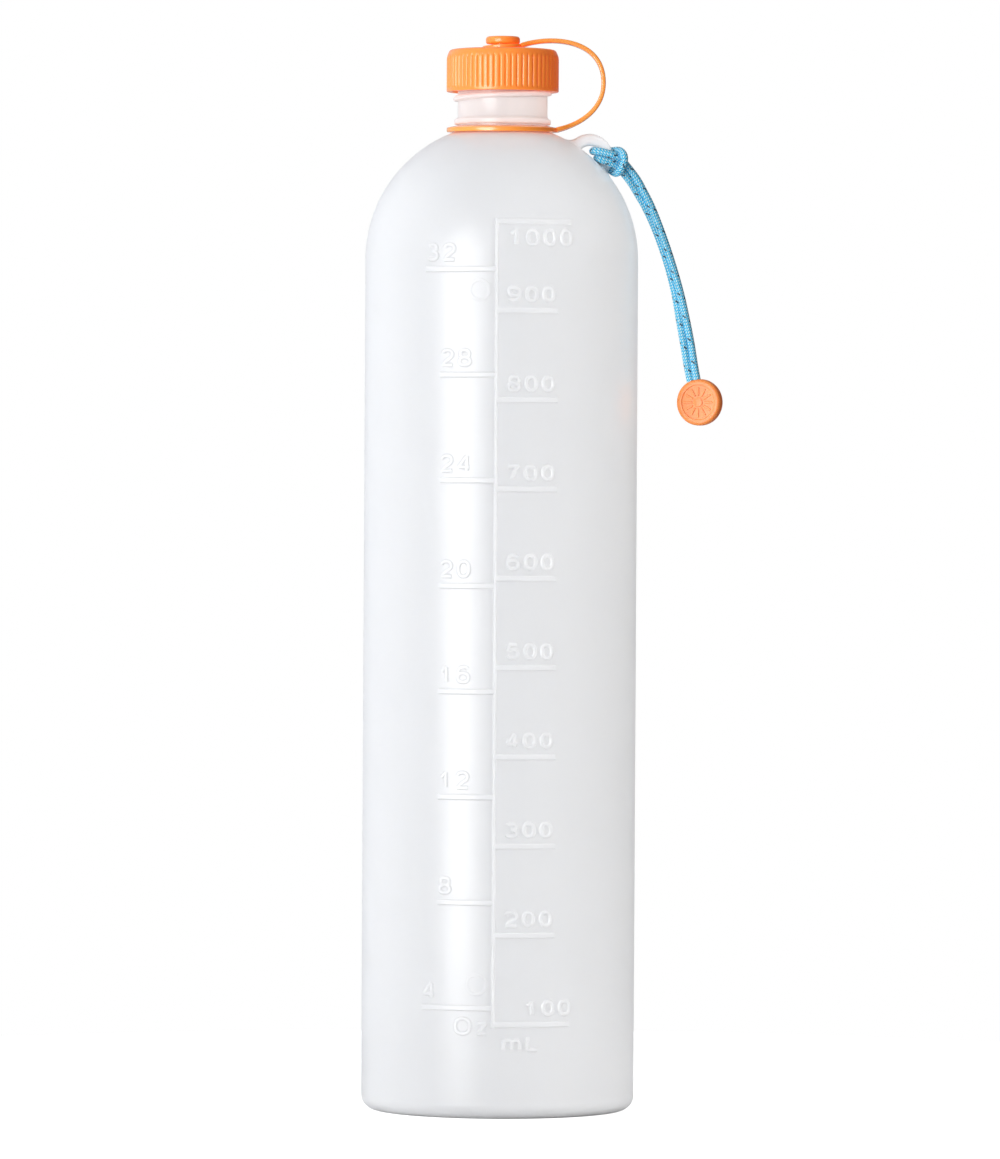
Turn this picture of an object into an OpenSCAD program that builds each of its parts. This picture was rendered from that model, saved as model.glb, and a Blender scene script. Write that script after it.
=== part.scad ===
// Graduated one-litre squeeze bottle with a tethered screw cap and a corded puller.
// Origin: middle of the base, on the standing plane. +Z is up, the scale faces -Y
// and the eyelet is on the +X side. Millimetres.

/* [Bottle] */
// Outer diameter of the body
body_d = 75; // [70:0.5:90]
// Height at which the straight side ends and the domed shoulder begins
body_h = 233.7; // [180:0.5:260]
// Wall thickness
wall = 1.2; // [0.9:0.1:2]
// Outer radius of the corner between side and base
base_corner = 3.9; // [2.5:0.1:6]
// Width of the flat ring that the bottle stands on
foot_w = 3; // [2:0.5:6]
// Rise of the base's middle above the standing plane
push_up = 3.5; // [2:0.5:6]

/* [Neck] */
// Wall thickness of the neck
neck_wall = 1.75; // [1.2:0.05:2.5]
// Height of the neck's rim above the collar's lower face
neck_h = 19.65; // [18:0.05:24]
// How far the retaining bead stands out of the neck
bead_out = 0.9; // [0.5:0.1:1.5]
// Height of the retaining bead
bead_h = 1.8; // [1.2:0.1:3]
// Radius on the bead's outer corners
bead_edge = 0.4; // [0.2:0.05:0.5]

/* [Eyelet] */
// Angle of the eyelet above the shoulder's centre, from horizontal
eyelet_angle = 49.8; // [40:0.1:52]
// Outer radius of the eyelet's arch
eyelet_r = 6.45; // [6:0.05:8]
// Radius of the eyelet's hole
eyelet_hole_r = 3.5; // [3.4:0.05:4]
// Thickness of the eyelet
eyelet_t = 3; // [2.6:0.1:3]
// Radius on the eyelet's edges
eyelet_edge = 1.2; // [0.6:0.1:1.2]
// How far the arch's centre lies inside the shoulder's surface
eyelet_sink = 0.4; // [0:0.1:1]
// Radius of the fillet at each foot of the arch
eyelet_fillet = 3.5; // [2:0.5:6]

/* [Scale] */
// Height of the raised lines above the wall
line_up = 0.3; // [0.15:0.05:0.5]
// Height of one graduation bar
line_h = 1.7; // [1:0.1:2.5]
// Width of the upright line between the two scales
spine_w = 1.2; // [0.8:0.1:2]
// How far the upright line stands above the bars and runs past the last ones
spine_over = 0.05; // [0.02:0.01:0.1]
// Angle of the upright line from the front, towards -X
scale_turn = 2; // [0:0.5:6]
// Height at which both scales would read zero
scale_zero = 1.6; // [1:0.1:4]
// Sweep of a fluid ounce bar
ounce_sweep = 24; // [15:1:30]
// Sweep of a millilitre bar
millilitre_sweep = 26; // [15:1:30]
// Extra sweep of the first and last bar of each scale
end_sweep = 7; // [0:1:12]

/* [Cap] */
// Outer diameter of the cap
cap_d = 30.8; // [28:0.1:36]
// Thickness of the cap's wall behind the grooves and the band
cap_wall = 1.65; // [1.4:0.05:2.5]
// Height of the cap, without its stud
cap_h = 11.8; // [10:0.1:12.5]
// Thickness of the cap's top
cap_top = 1.5; // [1:0.1:2.5]
// Radius of the cap's shoulder
cap_edge = 1.7; // [1:0.1:2]
// Height of the plain band at the cap's mouth
cap_band = 0.9; // [0.5:0.1:2]
// Height of the plain shoulder above the ribs
cap_brow = 1.9; // [1.7:0.1:3]
// Number of grip ribs
rib_count = 60; // [40:2:72]
// Depth of the grooves between the ribs
rib_depth = 0.4; // [0.2:0.05:0.5]
// Room between the neck and the cap's bore, which the threads fill
thread_room = 1.4; // [1.2:0.05:1.6]
// Thickness of the sealing liner
liner_t = 1; // [0.6:0.1:2]
// Diameter of the stud's stem
stem_d = 6; // [4:0.1:7]
// Diameter of the stud's head
stud_d = 9.4; // [8:0.1:11]
// Height of the stud's head
stud_h = 2.3; // [1.5:0.1:3]
// Radius on the stud's upper edge
stud_edge = 0.6; // [0.2:0.1:0.9]

/* [Tether] */
// Width of the collar's ring, from its bore to its outer edge
collar_w = 2.92; // [2:0.01:5]
// Thickness of the collar
collar_t = 1.2; // [0.8:0.1:1.4]
// Outer diameter of the eye round the stud
eye_d = 11.2; // [10:0.1:14]
// Thickness of the eye
eye_t = 1.2; // [0.8:0.1:2]
// Radius on the edges of the eye and the collar
ring_edge = 0.3; // [0.1:0.05:0.4]
// Thickness of the strap
strap_t = 1; // [0.7:0.05:1.4]
// Width of the strap
strap_w = 4.4; // [3:0.1:8]
// Distance from the neck's axis to the outermost point of the strap's middle line
strap_reach = 27.75; // [24:0.25:32]

/* [Lanyard] */
// Diameter of the cord
cord_d = 1.8; // [1.5:0.05:1.85]
// Distance between the middles of the two strands
strand_gap = 1.98; // [1.95:0.01:2.2]
// Diameter of the puller disc
puller_d = 12.8; // [12:0.1:18]
// Thickness of the puller disc
puller_t = 3.2; // [3:0.1:6]
// Radius on the puller's edges
puller_edge = 1; // [0.4:0.1:1.3]
// Width of the puller's raised rim
puller_rim = 1.5; // [1.2:0.1:3]
// Depth of the dish in each face of the puller
puller_dish = 0.25; // [0.1:0.05:0.4]
// Angle by which the puller is turned about its cords
puller_turn = 22; // [-30:1:30]

/* [Fits] */
// Radial clearance of a ring that turns on its shaft
turn_gap = 0.08; // [0.02:0.01:0.1]
// Clearance between flat faces that rest on each other
seat_gap = 0.05; // [0.02:0.01:0.1]
// Axial play of the collar and of the eye
ring_play = 0.3; // [0.2:0.05:0.5]
// Radial clearance of the cord in the puller
cord_gap = 0.1; // [0.05:0.05:0.2]

/* [Hidden] */
$fn = 96;

body_r = body_d / 2;
cap_r = cap_d / 2;
cap_bore_r = cap_r - cap_wall;
neck_r = cap_bore_r - thread_room;
neck_bore_r = neck_r - neck_wall;
foot_r = body_r - base_corner - foot_w;
push_r = (pow(foot_r, 2) + pow(push_up, 2)) / (2 * push_up);

// The collar hangs on the neck between the shoulder and the bead, and the rim,
// the liner, the cap, the eye and the stud stack up from its seat.
collar_bore_r = neck_r + turn_gap;
collar_r = collar_bore_r + collar_w;
collar_top = body_h + sqrt(pow(body_r, 2) - pow(collar_bore_r, 2)) + ring_play + collar_t;
rim_z = collar_top - collar_t + neck_h;
bead_z = collar_top + ring_play;
liner_z = rim_z + seat_gap;
cap_ceiling = liner_z + liner_t + seat_gap;
cap_z = cap_ceiling + cap_top;
cap_mouth = cap_z - cap_h;
rib_step = 360 / rib_count;
// One rib: phase across the rib, and share of the groove's depth at that phase.
RIB = [[-0.4, 1], [-0.28, 0.4], [-0.12, 0.05], [0.12, 0.05], [0.28, 0.4], [0.4, 1]];
eye_z = cap_z + ring_play / 3;
stud_z = eye_z + eye_t + ring_play / 3;
strap_lift = eye_z + eye_t / 2;
strap_foot = collar_top - collar_t / 2;

// The eyelet's centre, in the plane y = 0.
eyelet_rise = body_r - eyelet_sink;
eyelet_at = [eyelet_rise * cos(eyelet_angle), body_h + eyelet_rise * sin(eyelet_angle)];

// Contents per millimetre of height give the spacing of the graduations.
ounce = 29573.5;
bore_area = PI * pow(body_r - wall, 2);
function level(volume) = scale_zero + volume / bore_area;
front = -90 - scale_turn;

// The two hanging strands share one middle line from the puller to the eyelet:
// x, y, z and the angle by which the pair is twisted.
LEAD = [[53.4, 0, 198.6, 22], [52.3, 0, 204, 15], [51.2, 0, 210.6, 8], [50, 0, 217, 22],
        [48.4, 0, 225, 44], [46, 0, 233.6, 54], [43.2, -0.1, 241.6, 52],
        [40.4, -0.2, 248.2, 40], [38, -0.3, 252.6, 24], [36.1, -0.5, 255.8, 8]];
// The girth hitch round the arch, seen from the eyelet's centre and turned by
// hitch_turn: distance outwards, distance across, distance behind the eyelet's plane.
hitch_turn = -15;
HITCH = [[9.6, -1.35, -0.9], [8.5, -0.6, -1.3], [7.4, -0.05, -1.95], [6, 0.1, -2.6],
         [3.4, 0.2, -2.45], [2.3, 0.4, -1.2], [2.2, 0.45, 0], [2.3, 0.45, 1.2],
         [3.2, 0.2, 2.3], [5.4, -0.9, 2.75], [7.5, -2.4, 1.7], [8.4, -3.1, 0.1],
         [9, -3, -1.7], [9.6, -1.8, -3.1], [9.7, 0.1, -3.4], [9.7, 1.8, -3.3],
         [9.3, 3.3, -2.5], [8.5, 4.1, -0.9], [7.5, 4.2, 1], [5.4, 3.4, 2.6],
         [2.6, 2.4, 2.5], [1.1, 2, 1.6], [0.6, 1.9, 0.3], [0.9, 1.95, -1.2],
         [1.7, 2.05, -2.3], [3.4, 2.2, -2.7], [6, 2.2, -2.6], [7.6, 1.95, -1.8],
         [8.9, 1.5, -1.15], [10.2, 0.7, -0.75]];
puller_at = [54.7, 0, 194.4];
cord_sides = 8;

function unit(v) = v / norm(v);
function lead_place(i) = [LEAD[i][0], LEAD[i][1], LEAD[i][2]];
// Direction from a point of the lead towards the eyelet.
function lead_way(i) =
    unit(lead_place(min(i + 1, len(LEAD) - 1)) - lead_place(max(i - 1, 0)));
function strand(side) = [for (i = [0:len(LEAD) - 1])
    let (way = lead_way(i), across = unit([way[2], 0, -way[0]]))
    lead_place(i) + side * strand_gap / 2 * (cos(LEAD[i][3]) * across - [0, sin(LEAD[i][3]), 0])];
function hitch_place(p) = [
    eyelet_at[0] + p[0] * cos(hitch_turn) - p[1] * sin(hitch_turn), p[2],
    eyelet_at[1] + p[0] * sin(hitch_turn) + p[1] * cos(hitch_turn)];
function backwards(list) = [for (i = [len(list) - 1:-1:0]) list[i]];
ROUTE = concat(strand(-1), [for (p = HITCH) hitch_place(p)], backwards(strand(1)));

// A smooth curve through the route, halved once where it bends round the eyelet.
function pick(list, i) =
    i < 0 ? 2 * list[0] - list[1]
    : i >= len(list) ? 2 * list[len(list) - 1] - list[len(list) - 2] : list[i];
function halfway(list, i) =
    (9 * (pick(list, i) + pick(list, i + 1)) - pick(list, i - 1) - pick(list, i + 2)) / 16;
function bends(i) = i >= len(LEAD) - 1 && i < len(LEAD) + len(HITCH);
CORD = [for (i = [0:len(ROUTE) - 1], half = [0, 1])
    if (half == 0 || bends(i)) half == 0 ? ROUTE[i] : halfway(ROUTE, i)];

function cord_way(i) = unit(pick(CORD, i + 1) - pick(CORD, i - 1));
// Carries a direction along the curve so that the tube doesn't twist.
function square_to(v, way) = unit(v - (v * way) * way);
SIDEWAYS = [for (i = 0, v = square_to([0, 1, 0], cord_way(0)); i < len(CORD);
    i = i + 1, v = square_to(v, cord_way(min(i, len(CORD) - 1)))) v];

// Middle line of the strap, from the eye over the loop's outermost point to the collar.
function bezier(p, t) =
    pow(1 - t, 3) * p[0] + 3 * pow(1 - t, 2) * t * p[1] + 3 * (1 - t) * t * t * p[2] + pow(t, 3) * p[3];
strap_mid = strap_foot + 0.56 * (strap_lift - strap_foot);
STRAP_UPPER = [[eye_d / 2, strap_lift], [eye_d / 2 + 6, strap_lift + 3.9],
               [strap_reach, strap_lift + 1.3], [strap_reach, strap_mid]];
STRAP_LOWER = [[strap_reach, strap_mid], [strap_reach, strap_foot + 5.8],
               [collar_r + 6.3, strap_foot + 1.6], [collar_r - 0.35, strap_foot]];
strap_steps = 14;
STRAP = [for (half = [STRAP_UPPER, STRAP_LOWER], i = [0:strap_steps])
    if (half == STRAP_UPPER || i > 0) bezier(half, i / strap_steps)];
function strap_side(i) = let (way = unit(pick(STRAP, i + 1) - pick(STRAP, i - 1)))
    strap_t / 2 * [-way[1], way[0]];

// A bar whose outward corners are rounded, standing on the line x = 0.
module rounded_bar(out, high, edge) {
    square([out - edge, high]);
    translate([0, edge]) square([out, high - 2 * edge]);
    for (y = [edge, high - edge]) translate([out - edge, y]) circle(edge, $fn = 32);
}

// A flat ring with rounded edges, lying on the plane z = 0.
module rounded_ring(outer, inner, high, edge) {
    rotate_extrude() {
        translate([inner + edge, 0]) square([outer - inner - 2 * edge, high]);
        translate([inner, edge]) square([outer - inner, high - 2 * edge]);
        for (x = [inner + edge, outer - edge], y = [edge, high - edge])
            translate([x, y]) circle(edge, $fn = 32);
    }
}

// Half outline of the body and its domed shoulder, drawn in by inset.
module body_outline(inset) {
    radius = body_r - inset;
    corner = base_corner - inset;
    translate([0, inset]) {
        square([radius - corner, body_h - inset]);
        translate([0, corner]) square([radius, body_h - inset - corner]);
        translate([radius - corner, corner]) circle(corner);
    }
    translate([0, body_h]) intersection() {
        circle(radius, $fn = 180);
        square(radius);
    }
}

module bottle_outline() {
    difference() {
        body_outline(0);
        translate([0, push_up - push_r]) circle(push_r, $fn = 360);
    }
    translate([0, body_h]) square([neck_r, rim_z - body_h]);
    translate([neck_r - bead_edge, bead_z]) rounded_bar(bead_out + bead_edge, bead_h, bead_edge);
}

module cavity_outline() {
    difference() {
        body_outline(wall);
        translate([0, push_up - push_r]) circle(push_r + wall, $fn = 360);
    }
    translate([0, body_h]) square([neck_bore_r, rim_z - body_h + 1]);
}

// A raised line on the bottle's skin, between two heights and over a sweep of angle.
module raised(low, high, from, sweep, over = 0) {
    rotate([0, 0, from]) rotate_extrude(angle = sweep) intersection() {
        difference() {
            body_outline(-line_up - over);
            body_outline(wall / 2 + over);
        }
        translate([0, low - over]) square([body_r + 2 * line_up, high - low + 2 * over]);
    }
}

module graduations() {
    spine = spine_w / body_r * 180 / PI;
    raised(level(100e3) - line_h / 2, level(1000e3) + line_h / 2, front - spine / 2, spine,
           over = spine_over);
    for (step = [1:10]) {
        sweep = millilitre_sweep + (step == 1 || step == 10 ? end_sweep : 0);
        z = level(step * 100e3);
        raised(z - line_h / 2, z + line_h / 2, front, sweep);
    }
    for (step = [1:8]) {
        sweep = ounce_sweep + (step == 1 || step == 8 ? end_sweep : 0);
        z = level(step * 4 * ounce);
        raised(z - line_h / 2, z + line_h / 2, front - sweep, sweep);
    }
}

// Fillet between the shoulder and one foot of the arch, in the arch's own plane.
module foot_fillet(side) {
    far = body_r + eyelet_fillet;
    near = eyelet_r + eyelet_fillet;
    along = (far * far - near * near + eyelet_rise * eyelet_rise) / (2 * eyelet_rise);
    middle = [along, side * sqrt(far * far - along * along)];
    arch = [eyelet_rise, 0];
    start = unit(arch - middle);
    end = unit(-middle);
    arc = [for (t = [0:0.1:1]) middle + eyelet_fillet * unit((1 - t) * start + t * end)];
    polygon(concat([arch], arc, [unit(middle) * (body_r - wall / 2)]));
}

module eyelet() {
    translate([eyelet_at[0], 0, eyelet_at[1]]) rotate([90, 0, 0])
        translate([0, 0, -eyelet_t / 2]) rounded_ring(eyelet_r, eyelet_hole_r, eyelet_t, eyelet_edge);
    foot_t = eyelet_t - eyelet_edge;
    difference() {
        translate([0, foot_t / 2, body_h]) rotate([90, 0, 0]) rotate([0, 0, eyelet_angle])
            linear_extrude(foot_t) for (side = [-1, 1]) foot_fillet(side);
        translate([eyelet_at[0], 0, eyelet_at[1]]) rotate([90, 0, 0])
            cylinder(r = (eyelet_r + eyelet_hole_r) / 2, h = 2 * eyelet_t, center = true);
    }
}

module bottle() {
    color([0.93, 0.94, 0.95]) difference() {
        union() {
            rotate_extrude() bottle_outline();
            graduations();
            eyelet();
        }
        rotate_extrude() cavity_outline();
    }
}

module rib_outline() {
    polygon([for (i = [0:rib_count - 1], p = RIB)
        let (a = (i + p[0]) * rib_step) (cap_r - rib_depth * p[1]) * [cos(a), sin(a)]]);
}

module screw_cap() {
    skin = 0.02;
    groove_top = cap_z - cap_brow;
    color([0.96, 0.56, 0.24]) {
        difference() {
            translate([0, 0, cap_mouth]) rotate_extrude() {
                square([cap_r + skin - cap_edge, cap_h]);
                square([cap_r + skin, cap_h - cap_edge]);
                translate([cap_r + skin - cap_edge, cap_h - cap_edge]) circle(cap_edge, $fn = 48);
            }
            translate([0, 0, cap_mouth + cap_band])
                linear_extrude(groove_top - cap_mouth - cap_band) difference() {
                    circle(cap_r + 1);
                    rib_outline();
                }
            translate([0, 0, cap_mouth - 1]) cylinder(r = cap_bore_r, h = cap_ceiling - cap_mouth + 1);
        }
        translate([0, 0, cap_z]) cylinder(d = stem_d, h = stud_z - cap_z + stud_edge);
        translate([0, 0, stud_z]) rotate_extrude() {
            square([stud_d / 2 - stud_edge, stud_h]);
            square([stud_d / 2, stud_h - stud_edge]);
            translate([stud_d / 2 - stud_edge, stud_h - stud_edge]) circle(stud_edge, $fn = 32);
        }
    }
}

module cap_liner() {
    color([0.9, 0.9, 0.88]) translate([0, 0, liner_z])
        cylinder(r = cap_bore_r - turn_gap, h = liner_t);
}

module tether_collar() {
    color([0.96, 0.56, 0.22]) translate([0, 0, collar_top - collar_t])
        rounded_ring(collar_r, collar_bore_r, collar_t, ring_edge);
}

module tether_eye() {
    color([0.96, 0.56, 0.22]) translate([0, 0, eye_z])
        rounded_ring(eye_d / 2, stem_d / 2 + turn_gap, eye_t, ring_edge);
}

module tether_strap() {
    last = len(STRAP) - 1;
    color([0.96, 0.56, 0.22]) difference() {
        translate([0, strap_w / 2, 0]) rotate([90, 0, 0]) linear_extrude(strap_w)
            polygon(concat([for (i = [0:last]) STRAP[i] + strap_side(i)],
                           [for (i = [last:-1:0]) STRAP[i] - strap_side(i)]));
        cylinder(r = collar_r + seat_gap, h = collar_top + collar_t);
        translate([0, 0, cap_z]) cylinder(r = eye_d / 2 + seat_gap, h = 3 * eye_t);
    }
}

module lanyard_cord() {
    rings = len(CORD);
    points = [for (i = [0:rings - 1], k = [0:cord_sides - 1])
        let (a = 360 * k / cord_sides, side = SIDEWAYS[i])
        CORD[i] + cord_d / 2 * (cos(a) * side + sin(a) * cross(cord_way(i), side))];
    walls = [for (i = [0:rings - 2], k = [0:cord_sides - 1])
        let (a = i * cord_sides + k, b = i * cord_sides + (k + 1) % cord_sides)
        [a, a + cord_sides, b + cord_sides, b]];
    ends = [[for (k = [0:cord_sides - 1]) k],
            [for (k = [cord_sides - 1:-1:0]) (rings - 1) * cord_sides + k]];
    color([0.45, 0.76, 0.88]) polyhedron(points, concat(walls, ends));
}

module puller() {
    color([0.97, 0.6, 0.33]) difference() {
        translate(puller_at) rotate([0, 0, -puller_turn]) rotate([90, 0, 0]) difference() {
            translate([0, 0, -puller_t / 2]) rotate_extrude()
                rounded_bar(puller_d / 2, puller_t, puller_edge);
            for (side = [-1, 1]) translate([0, 0, side * puller_t / 2])
                cylinder(d = puller_d - 2 * puller_rim, h = 2 * puller_dish, center = true);
        }
        // One blind hole for each end of the cord.
        for (side = [-1, 1]) {
            way = strand(side)[1] - strand(side)[0];
            translate(strand(side)[0]) rotate([0, acos(way[2] / norm(way)), atan2(way[1], way[0])])
                translate([0, 0, -cord_gap]) cylinder(d = cord_d + 2 * cord_gap, h = puller_d / 2);
        }
    }
}

bottle();
screw_cap();
cap_liner();
tether_collar();
tether_strap();
tether_eye();
lanyard_cord();
puller();
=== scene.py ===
"""Dresses the graduated squeeze bottle: milky shell, ribbed screw cap, tether and corded puller.

Everything stands in the part's own frame: metres, +Z up, the scale facing -Y, the eyelet towards +X.
Sizes are written in millimetres and turned to metres where they are used.
"""

import math
from types import SimpleNamespace

import bmesh
import bpy
import numpy as np
from mathutils import Matrix, Vector


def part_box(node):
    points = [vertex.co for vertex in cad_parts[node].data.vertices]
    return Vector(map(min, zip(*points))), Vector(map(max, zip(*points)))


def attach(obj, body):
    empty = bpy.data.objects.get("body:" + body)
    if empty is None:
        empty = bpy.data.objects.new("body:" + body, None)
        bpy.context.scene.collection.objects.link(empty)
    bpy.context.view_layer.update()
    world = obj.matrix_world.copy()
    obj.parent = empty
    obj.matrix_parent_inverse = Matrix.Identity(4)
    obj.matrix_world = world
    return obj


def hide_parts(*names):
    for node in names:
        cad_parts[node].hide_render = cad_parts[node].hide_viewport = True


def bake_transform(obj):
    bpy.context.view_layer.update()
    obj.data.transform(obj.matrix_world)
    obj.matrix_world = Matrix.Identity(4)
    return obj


bl_info = {
    "name": "Graduated squeeze bottle",
    "version": (1, 0, 0),
    "blender": (4, 5, 0),
    "location": "3D View > Sidebar > Bottle",
    "description": "Makes a graduated squeeze bottle with a tethered screw cap and a corded puller",
    "category": "Add Mesh",
}

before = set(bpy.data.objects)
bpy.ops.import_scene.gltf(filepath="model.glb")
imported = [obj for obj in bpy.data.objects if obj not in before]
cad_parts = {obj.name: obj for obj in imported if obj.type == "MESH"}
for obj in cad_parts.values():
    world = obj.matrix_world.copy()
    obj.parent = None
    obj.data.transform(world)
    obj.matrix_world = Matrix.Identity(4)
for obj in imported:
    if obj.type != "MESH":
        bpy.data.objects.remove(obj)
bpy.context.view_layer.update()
MM = 0.001


def mm_of(value):
    """A length of the frame, in millimetres and free of float noise."""
    return round(value / MM, 3)


BOTTLE_LOW, BOTTLE_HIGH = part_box("bottle")
CAP_LOW, CAP_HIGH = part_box("screw_cap")
COLLAR_LOW, COLLAR_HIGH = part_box("tether_collar")
EYE_LOW, EYE_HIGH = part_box("tether_eye")


# ---------------------------------------------------------------- sizes and colours


def size(name, description, millimetres):
    """A length. Blender keeps it in metres."""
    return bpy.props.FloatProperty(
        name=name, description=description, default=millimetres * MM, unit="LENGTH", precision=5
    )


def angle(name, description, degrees):
    """An angle. Blender keeps it in radians."""
    return bpy.props.FloatProperty(
        name=name, description=description, default=math.radians(degrees), unit="ROTATION"
    )


def count(name, description, default):
    """A whole number of like things."""
    return bpy.props.IntProperty(name=name, description=description, default=default, min=3)


def plain(group):
    """A group's sizes as plain numbers: lengths in millimetres, angles in degrees, counts as they are.

    Lengths and angles come back as they were written, in Blender's single precision.
    """
    factors = {"LENGTH": 1 / MM, "ROTATION": math.degrees(1)}
    made = SimpleNamespace()
    for name in type(group).__annotations__:
        value = getattr(group, name)
        factor = factors.get(group.bl_rna.properties[name].unit)
        if factor:
            value = float(np.float32(round(value * factor, 4)))
        setattr(made, name, value)
    return made


def linear(code):
    """Linear RGBA of an sRGB hex colour."""
    parts = [int(code[i : i + 2], 16) / 255 for i in (1, 3, 5)]
    return tuple(p / 12.92 if p <= 0.04045 else ((p + 0.055) / 1.055) ** 2.4 for p in parts) + (1.0,)


def colour(name, description, code):
    """A colour that a user may change, from its sRGB hex code."""
    return bpy.props.FloatVectorProperty(
        name=name, description=description, subtype="COLOR", size=4, min=0, max=1, default=linear(code)
    )


class BottleSizes(bpy.types.PropertyGroup):
    """The blow-moulded shell"""

    body_r: size("Body radius", "Radius of the straight side", -mm_of(BOTTLE_LOW.x))
    body_h: size("Side height", "Height at which the domed shoulder begins", 233.7)
    wall: size("Wall", "Wall thickness", 1.2)
    corner: size("Base corner", "Radius between side and base", 3.9)
    foot: size("Foot", "Width of the ring that it stands on", 3.0)
    push_up: size("Push-up", "Rise of the base's middle", 3.5)
    neck_r: size("Neck radius", "Outer radius of the neck", 12.35)
    neck_wall: size("Neck wall", "Wall thickness of the neck", 1.75)
    rim: size("Rim height", "Height of the neck's rim", mm_of(BOTTLE_HIGH.z))
    bead_at: size("Bead height", "Height of the retaining bead's lower face", 270.88)
    bead_h: size("Bead", "Height of the retaining bead", 1.8)
    bead_out: size("Bead reach", "How far the bead stands out of the neck", 0.9)
    thread_pitch: size("Thread pitch", "Rise of the thread in one turn", 3.2)
    thread_out: size("Thread reach", "How far the thread stands out of the neck", 1.2)
    arch_angle: angle("Eyelet angle", "Angle of the eyelet above the shoulder's centre", 49.8)
    arch_r: size("Eyelet radius", "Outer radius of the eyelet's arch", 6.45)
    arch_hole: size("Eyelet hole", "Radius of the eyelet's hole", 3.15)
    arch_t: size("Eyelet thickness", "Thickness of the eyelet", 3.0)
    arch_sink: size("Eyelet sink", "Depth of the arch's centre in the shoulder", 0.4)
    arch_foot: size("Eyelet foot", "Radius of the fillet at the arch's upper foot", 3.5)
    arch_foot_low: size("Eyelet lower foot", "Radius of the fillet at the arch's lower foot", 1.6)


class ScaleSizes(bpy.types.PropertyGroup):
    """The raised graduations"""

    up: size("Relief", "Height of the raised lines above the wall", 0.3)
    line: size("Bar", "Height of one bar", 1.7)
    spine: size("Spine", "Width of the upright line", 1.2)
    stroke: size("Stroke", "Width of a figure's strokes", 1.25)
    slope: size("Slope", "Width of the sloping side of a raised line", 0.36)
    turn: angle("Turn", "Angle of the upright line from the front, towards -X", 2.0)
    zero: size("Zero", "Height at which both scales would read zero", 1.6)
    ounce_sweep: angle("Ounce bar", "Sweep of a fluid ounce bar", 24.0)
    ml_sweep: angle("Millilitre bar", "Sweep of a millilitre bar", 26.0)
    end_sweep: angle("Long bar", "Extra sweep of each scale's first and last bar", 7.0)
    ounce_tall: size("Ounce figures", "Height of the ounce figures", 5.3)
    ml_tall: size("Millilitre figures", "Height of the millilitre figures", 4.75)


class CapSizes(bpy.types.PropertyGroup):
    """The screw cap with its stud"""

    outer_r: size("Cap radius", "Outer radius of the cap", mm_of(CAP_HIGH.x))
    bore_r: size("Cap bore", "Radius of the cap's bore", 13.75)
    mouth: size("Mouth", "Height of the cap's mouth", mm_of(CAP_LOW.z))
    top: size("Top", "Height of the cap's top face", 291.63)
    ceiling: size("Ceiling", "Height of the cap's inner face", 290.13)
    band: size("Band", "Height of the plain band at the mouth", 0.75)
    brow: size("Brow", "Height of the plain shoulder above the ribs", 1.85)
    rib_depth: size("Groove depth", "Depth of the grooves between the ribs", 0.34)
    stem_r: size("Stem", "Radius of the stud's stem", 3.0)
    stud_r: size("Stud", "Radius of the stud's head", 4.7)
    stud_at: size("Stud height", "Height of the stud head's lower face", 293.03)
    stud_top: size("Stud top", "Height of the stud's top", mm_of(CAP_HIGH.z))
    ribs: count("Ribs", "Number of grip ribs", 60)


class TetherSizes(bpy.types.PropertyGroup):
    """Collar, strap and eye"""

    thick: size("Strap thickness", "Thickness of the strap", 1.2)
    wide: size("Strap width", "Width of the strap", 4.4)
    reach: size("Reach", "Distance from the axis to the strap's outermost middle line", 27.75)
    edge: size("Edge", "Radius on the edges of collar and eye", 0.22)
    droop: size("Droop", "How far the collar's outer edge hangs down", 0.6)
    lean: angle("Lean", "Angle by which the collar leans to the front", 1.0)
    eye_lean: angle("Eye lean", "Angle by which the eye rises towards the strap", 3.0)


class LanyardSizes(bpy.types.PropertyGroup):
    """Cord and puller"""

    cord_d: size("Cord", "Diameter of the braided cord", 2.12)
    gap: size("Strand gap", "Distance between the middles of the two strands", 1.94)
    pick: size("Pick", "Length of one pick of the braid along the cord", 0.8)
    puller_r: size("Puller", "Radius of the puller", 6.4)
    puller_t: size("Puller thickness", "Thickness of the puller", 3.2)
    puller_turn: angle("Puller turn", "Angle by which the puller is turned about its cords", 22.0)
    relief: size("Braid relief", "Depth of the gaps between the picks", 0.12)
    carriers: count("Carriers", "Carriers of the braid each way", 8)
    rays: count("Rays", "Number of grip rays on each face of the puller", 12)


class Finishes(bpy.types.PropertyGroup):
    """Colours of the finishes"""

    shell: colour("Shell", "Natural HDPE", "#F3F2F2")
    # Painted light: the shell's colour with orange light from the cap painted into it, for the neck.
    shell_painted_cap_light: colour("Warmed shell", "Natural HDPE with orange light from the cap in it", "#E9DEDA")
    cap: colour("Cap", "Orange polypropylene", "#FFA342")
    tether: colour("Tether", "Orange flexible polyethylene", "#FFAE48")
    puller: colour("Puller", "Light orange polypropylene", "#FC9C4C")
    liner: colour("Liner", "Foamed polyethylene", "#F0EFEA")
    cord: colour("Cord", "Sky blue polyester sheath", "#2CD0FF")
    # Painted highlight and painted shade: crown paints a glossy highlight on one way's picks, and cord_gap
    # paints the shade between the picks.
    crown: colour("Crown", "Glossy crown of each pick", "#CFF8FF")
    cord_gap: colour("Cord gaps", "Shade between the picks", "#0098D4")
    tracer: colour("Tracer", "Dark tracer yarn", "#262E42")


GROUPS = {
    "bottle_sizes": BottleSizes,
    "scale_sizes": ScaleSizes,
    "cap_sizes": CapSizes,
    "tether_sizes": TetherSizes,
    "lanyard_sizes": LanyardSizes,
    "finishes": Finishes,
}


# ---------------------------------------------------------------- small tools


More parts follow.
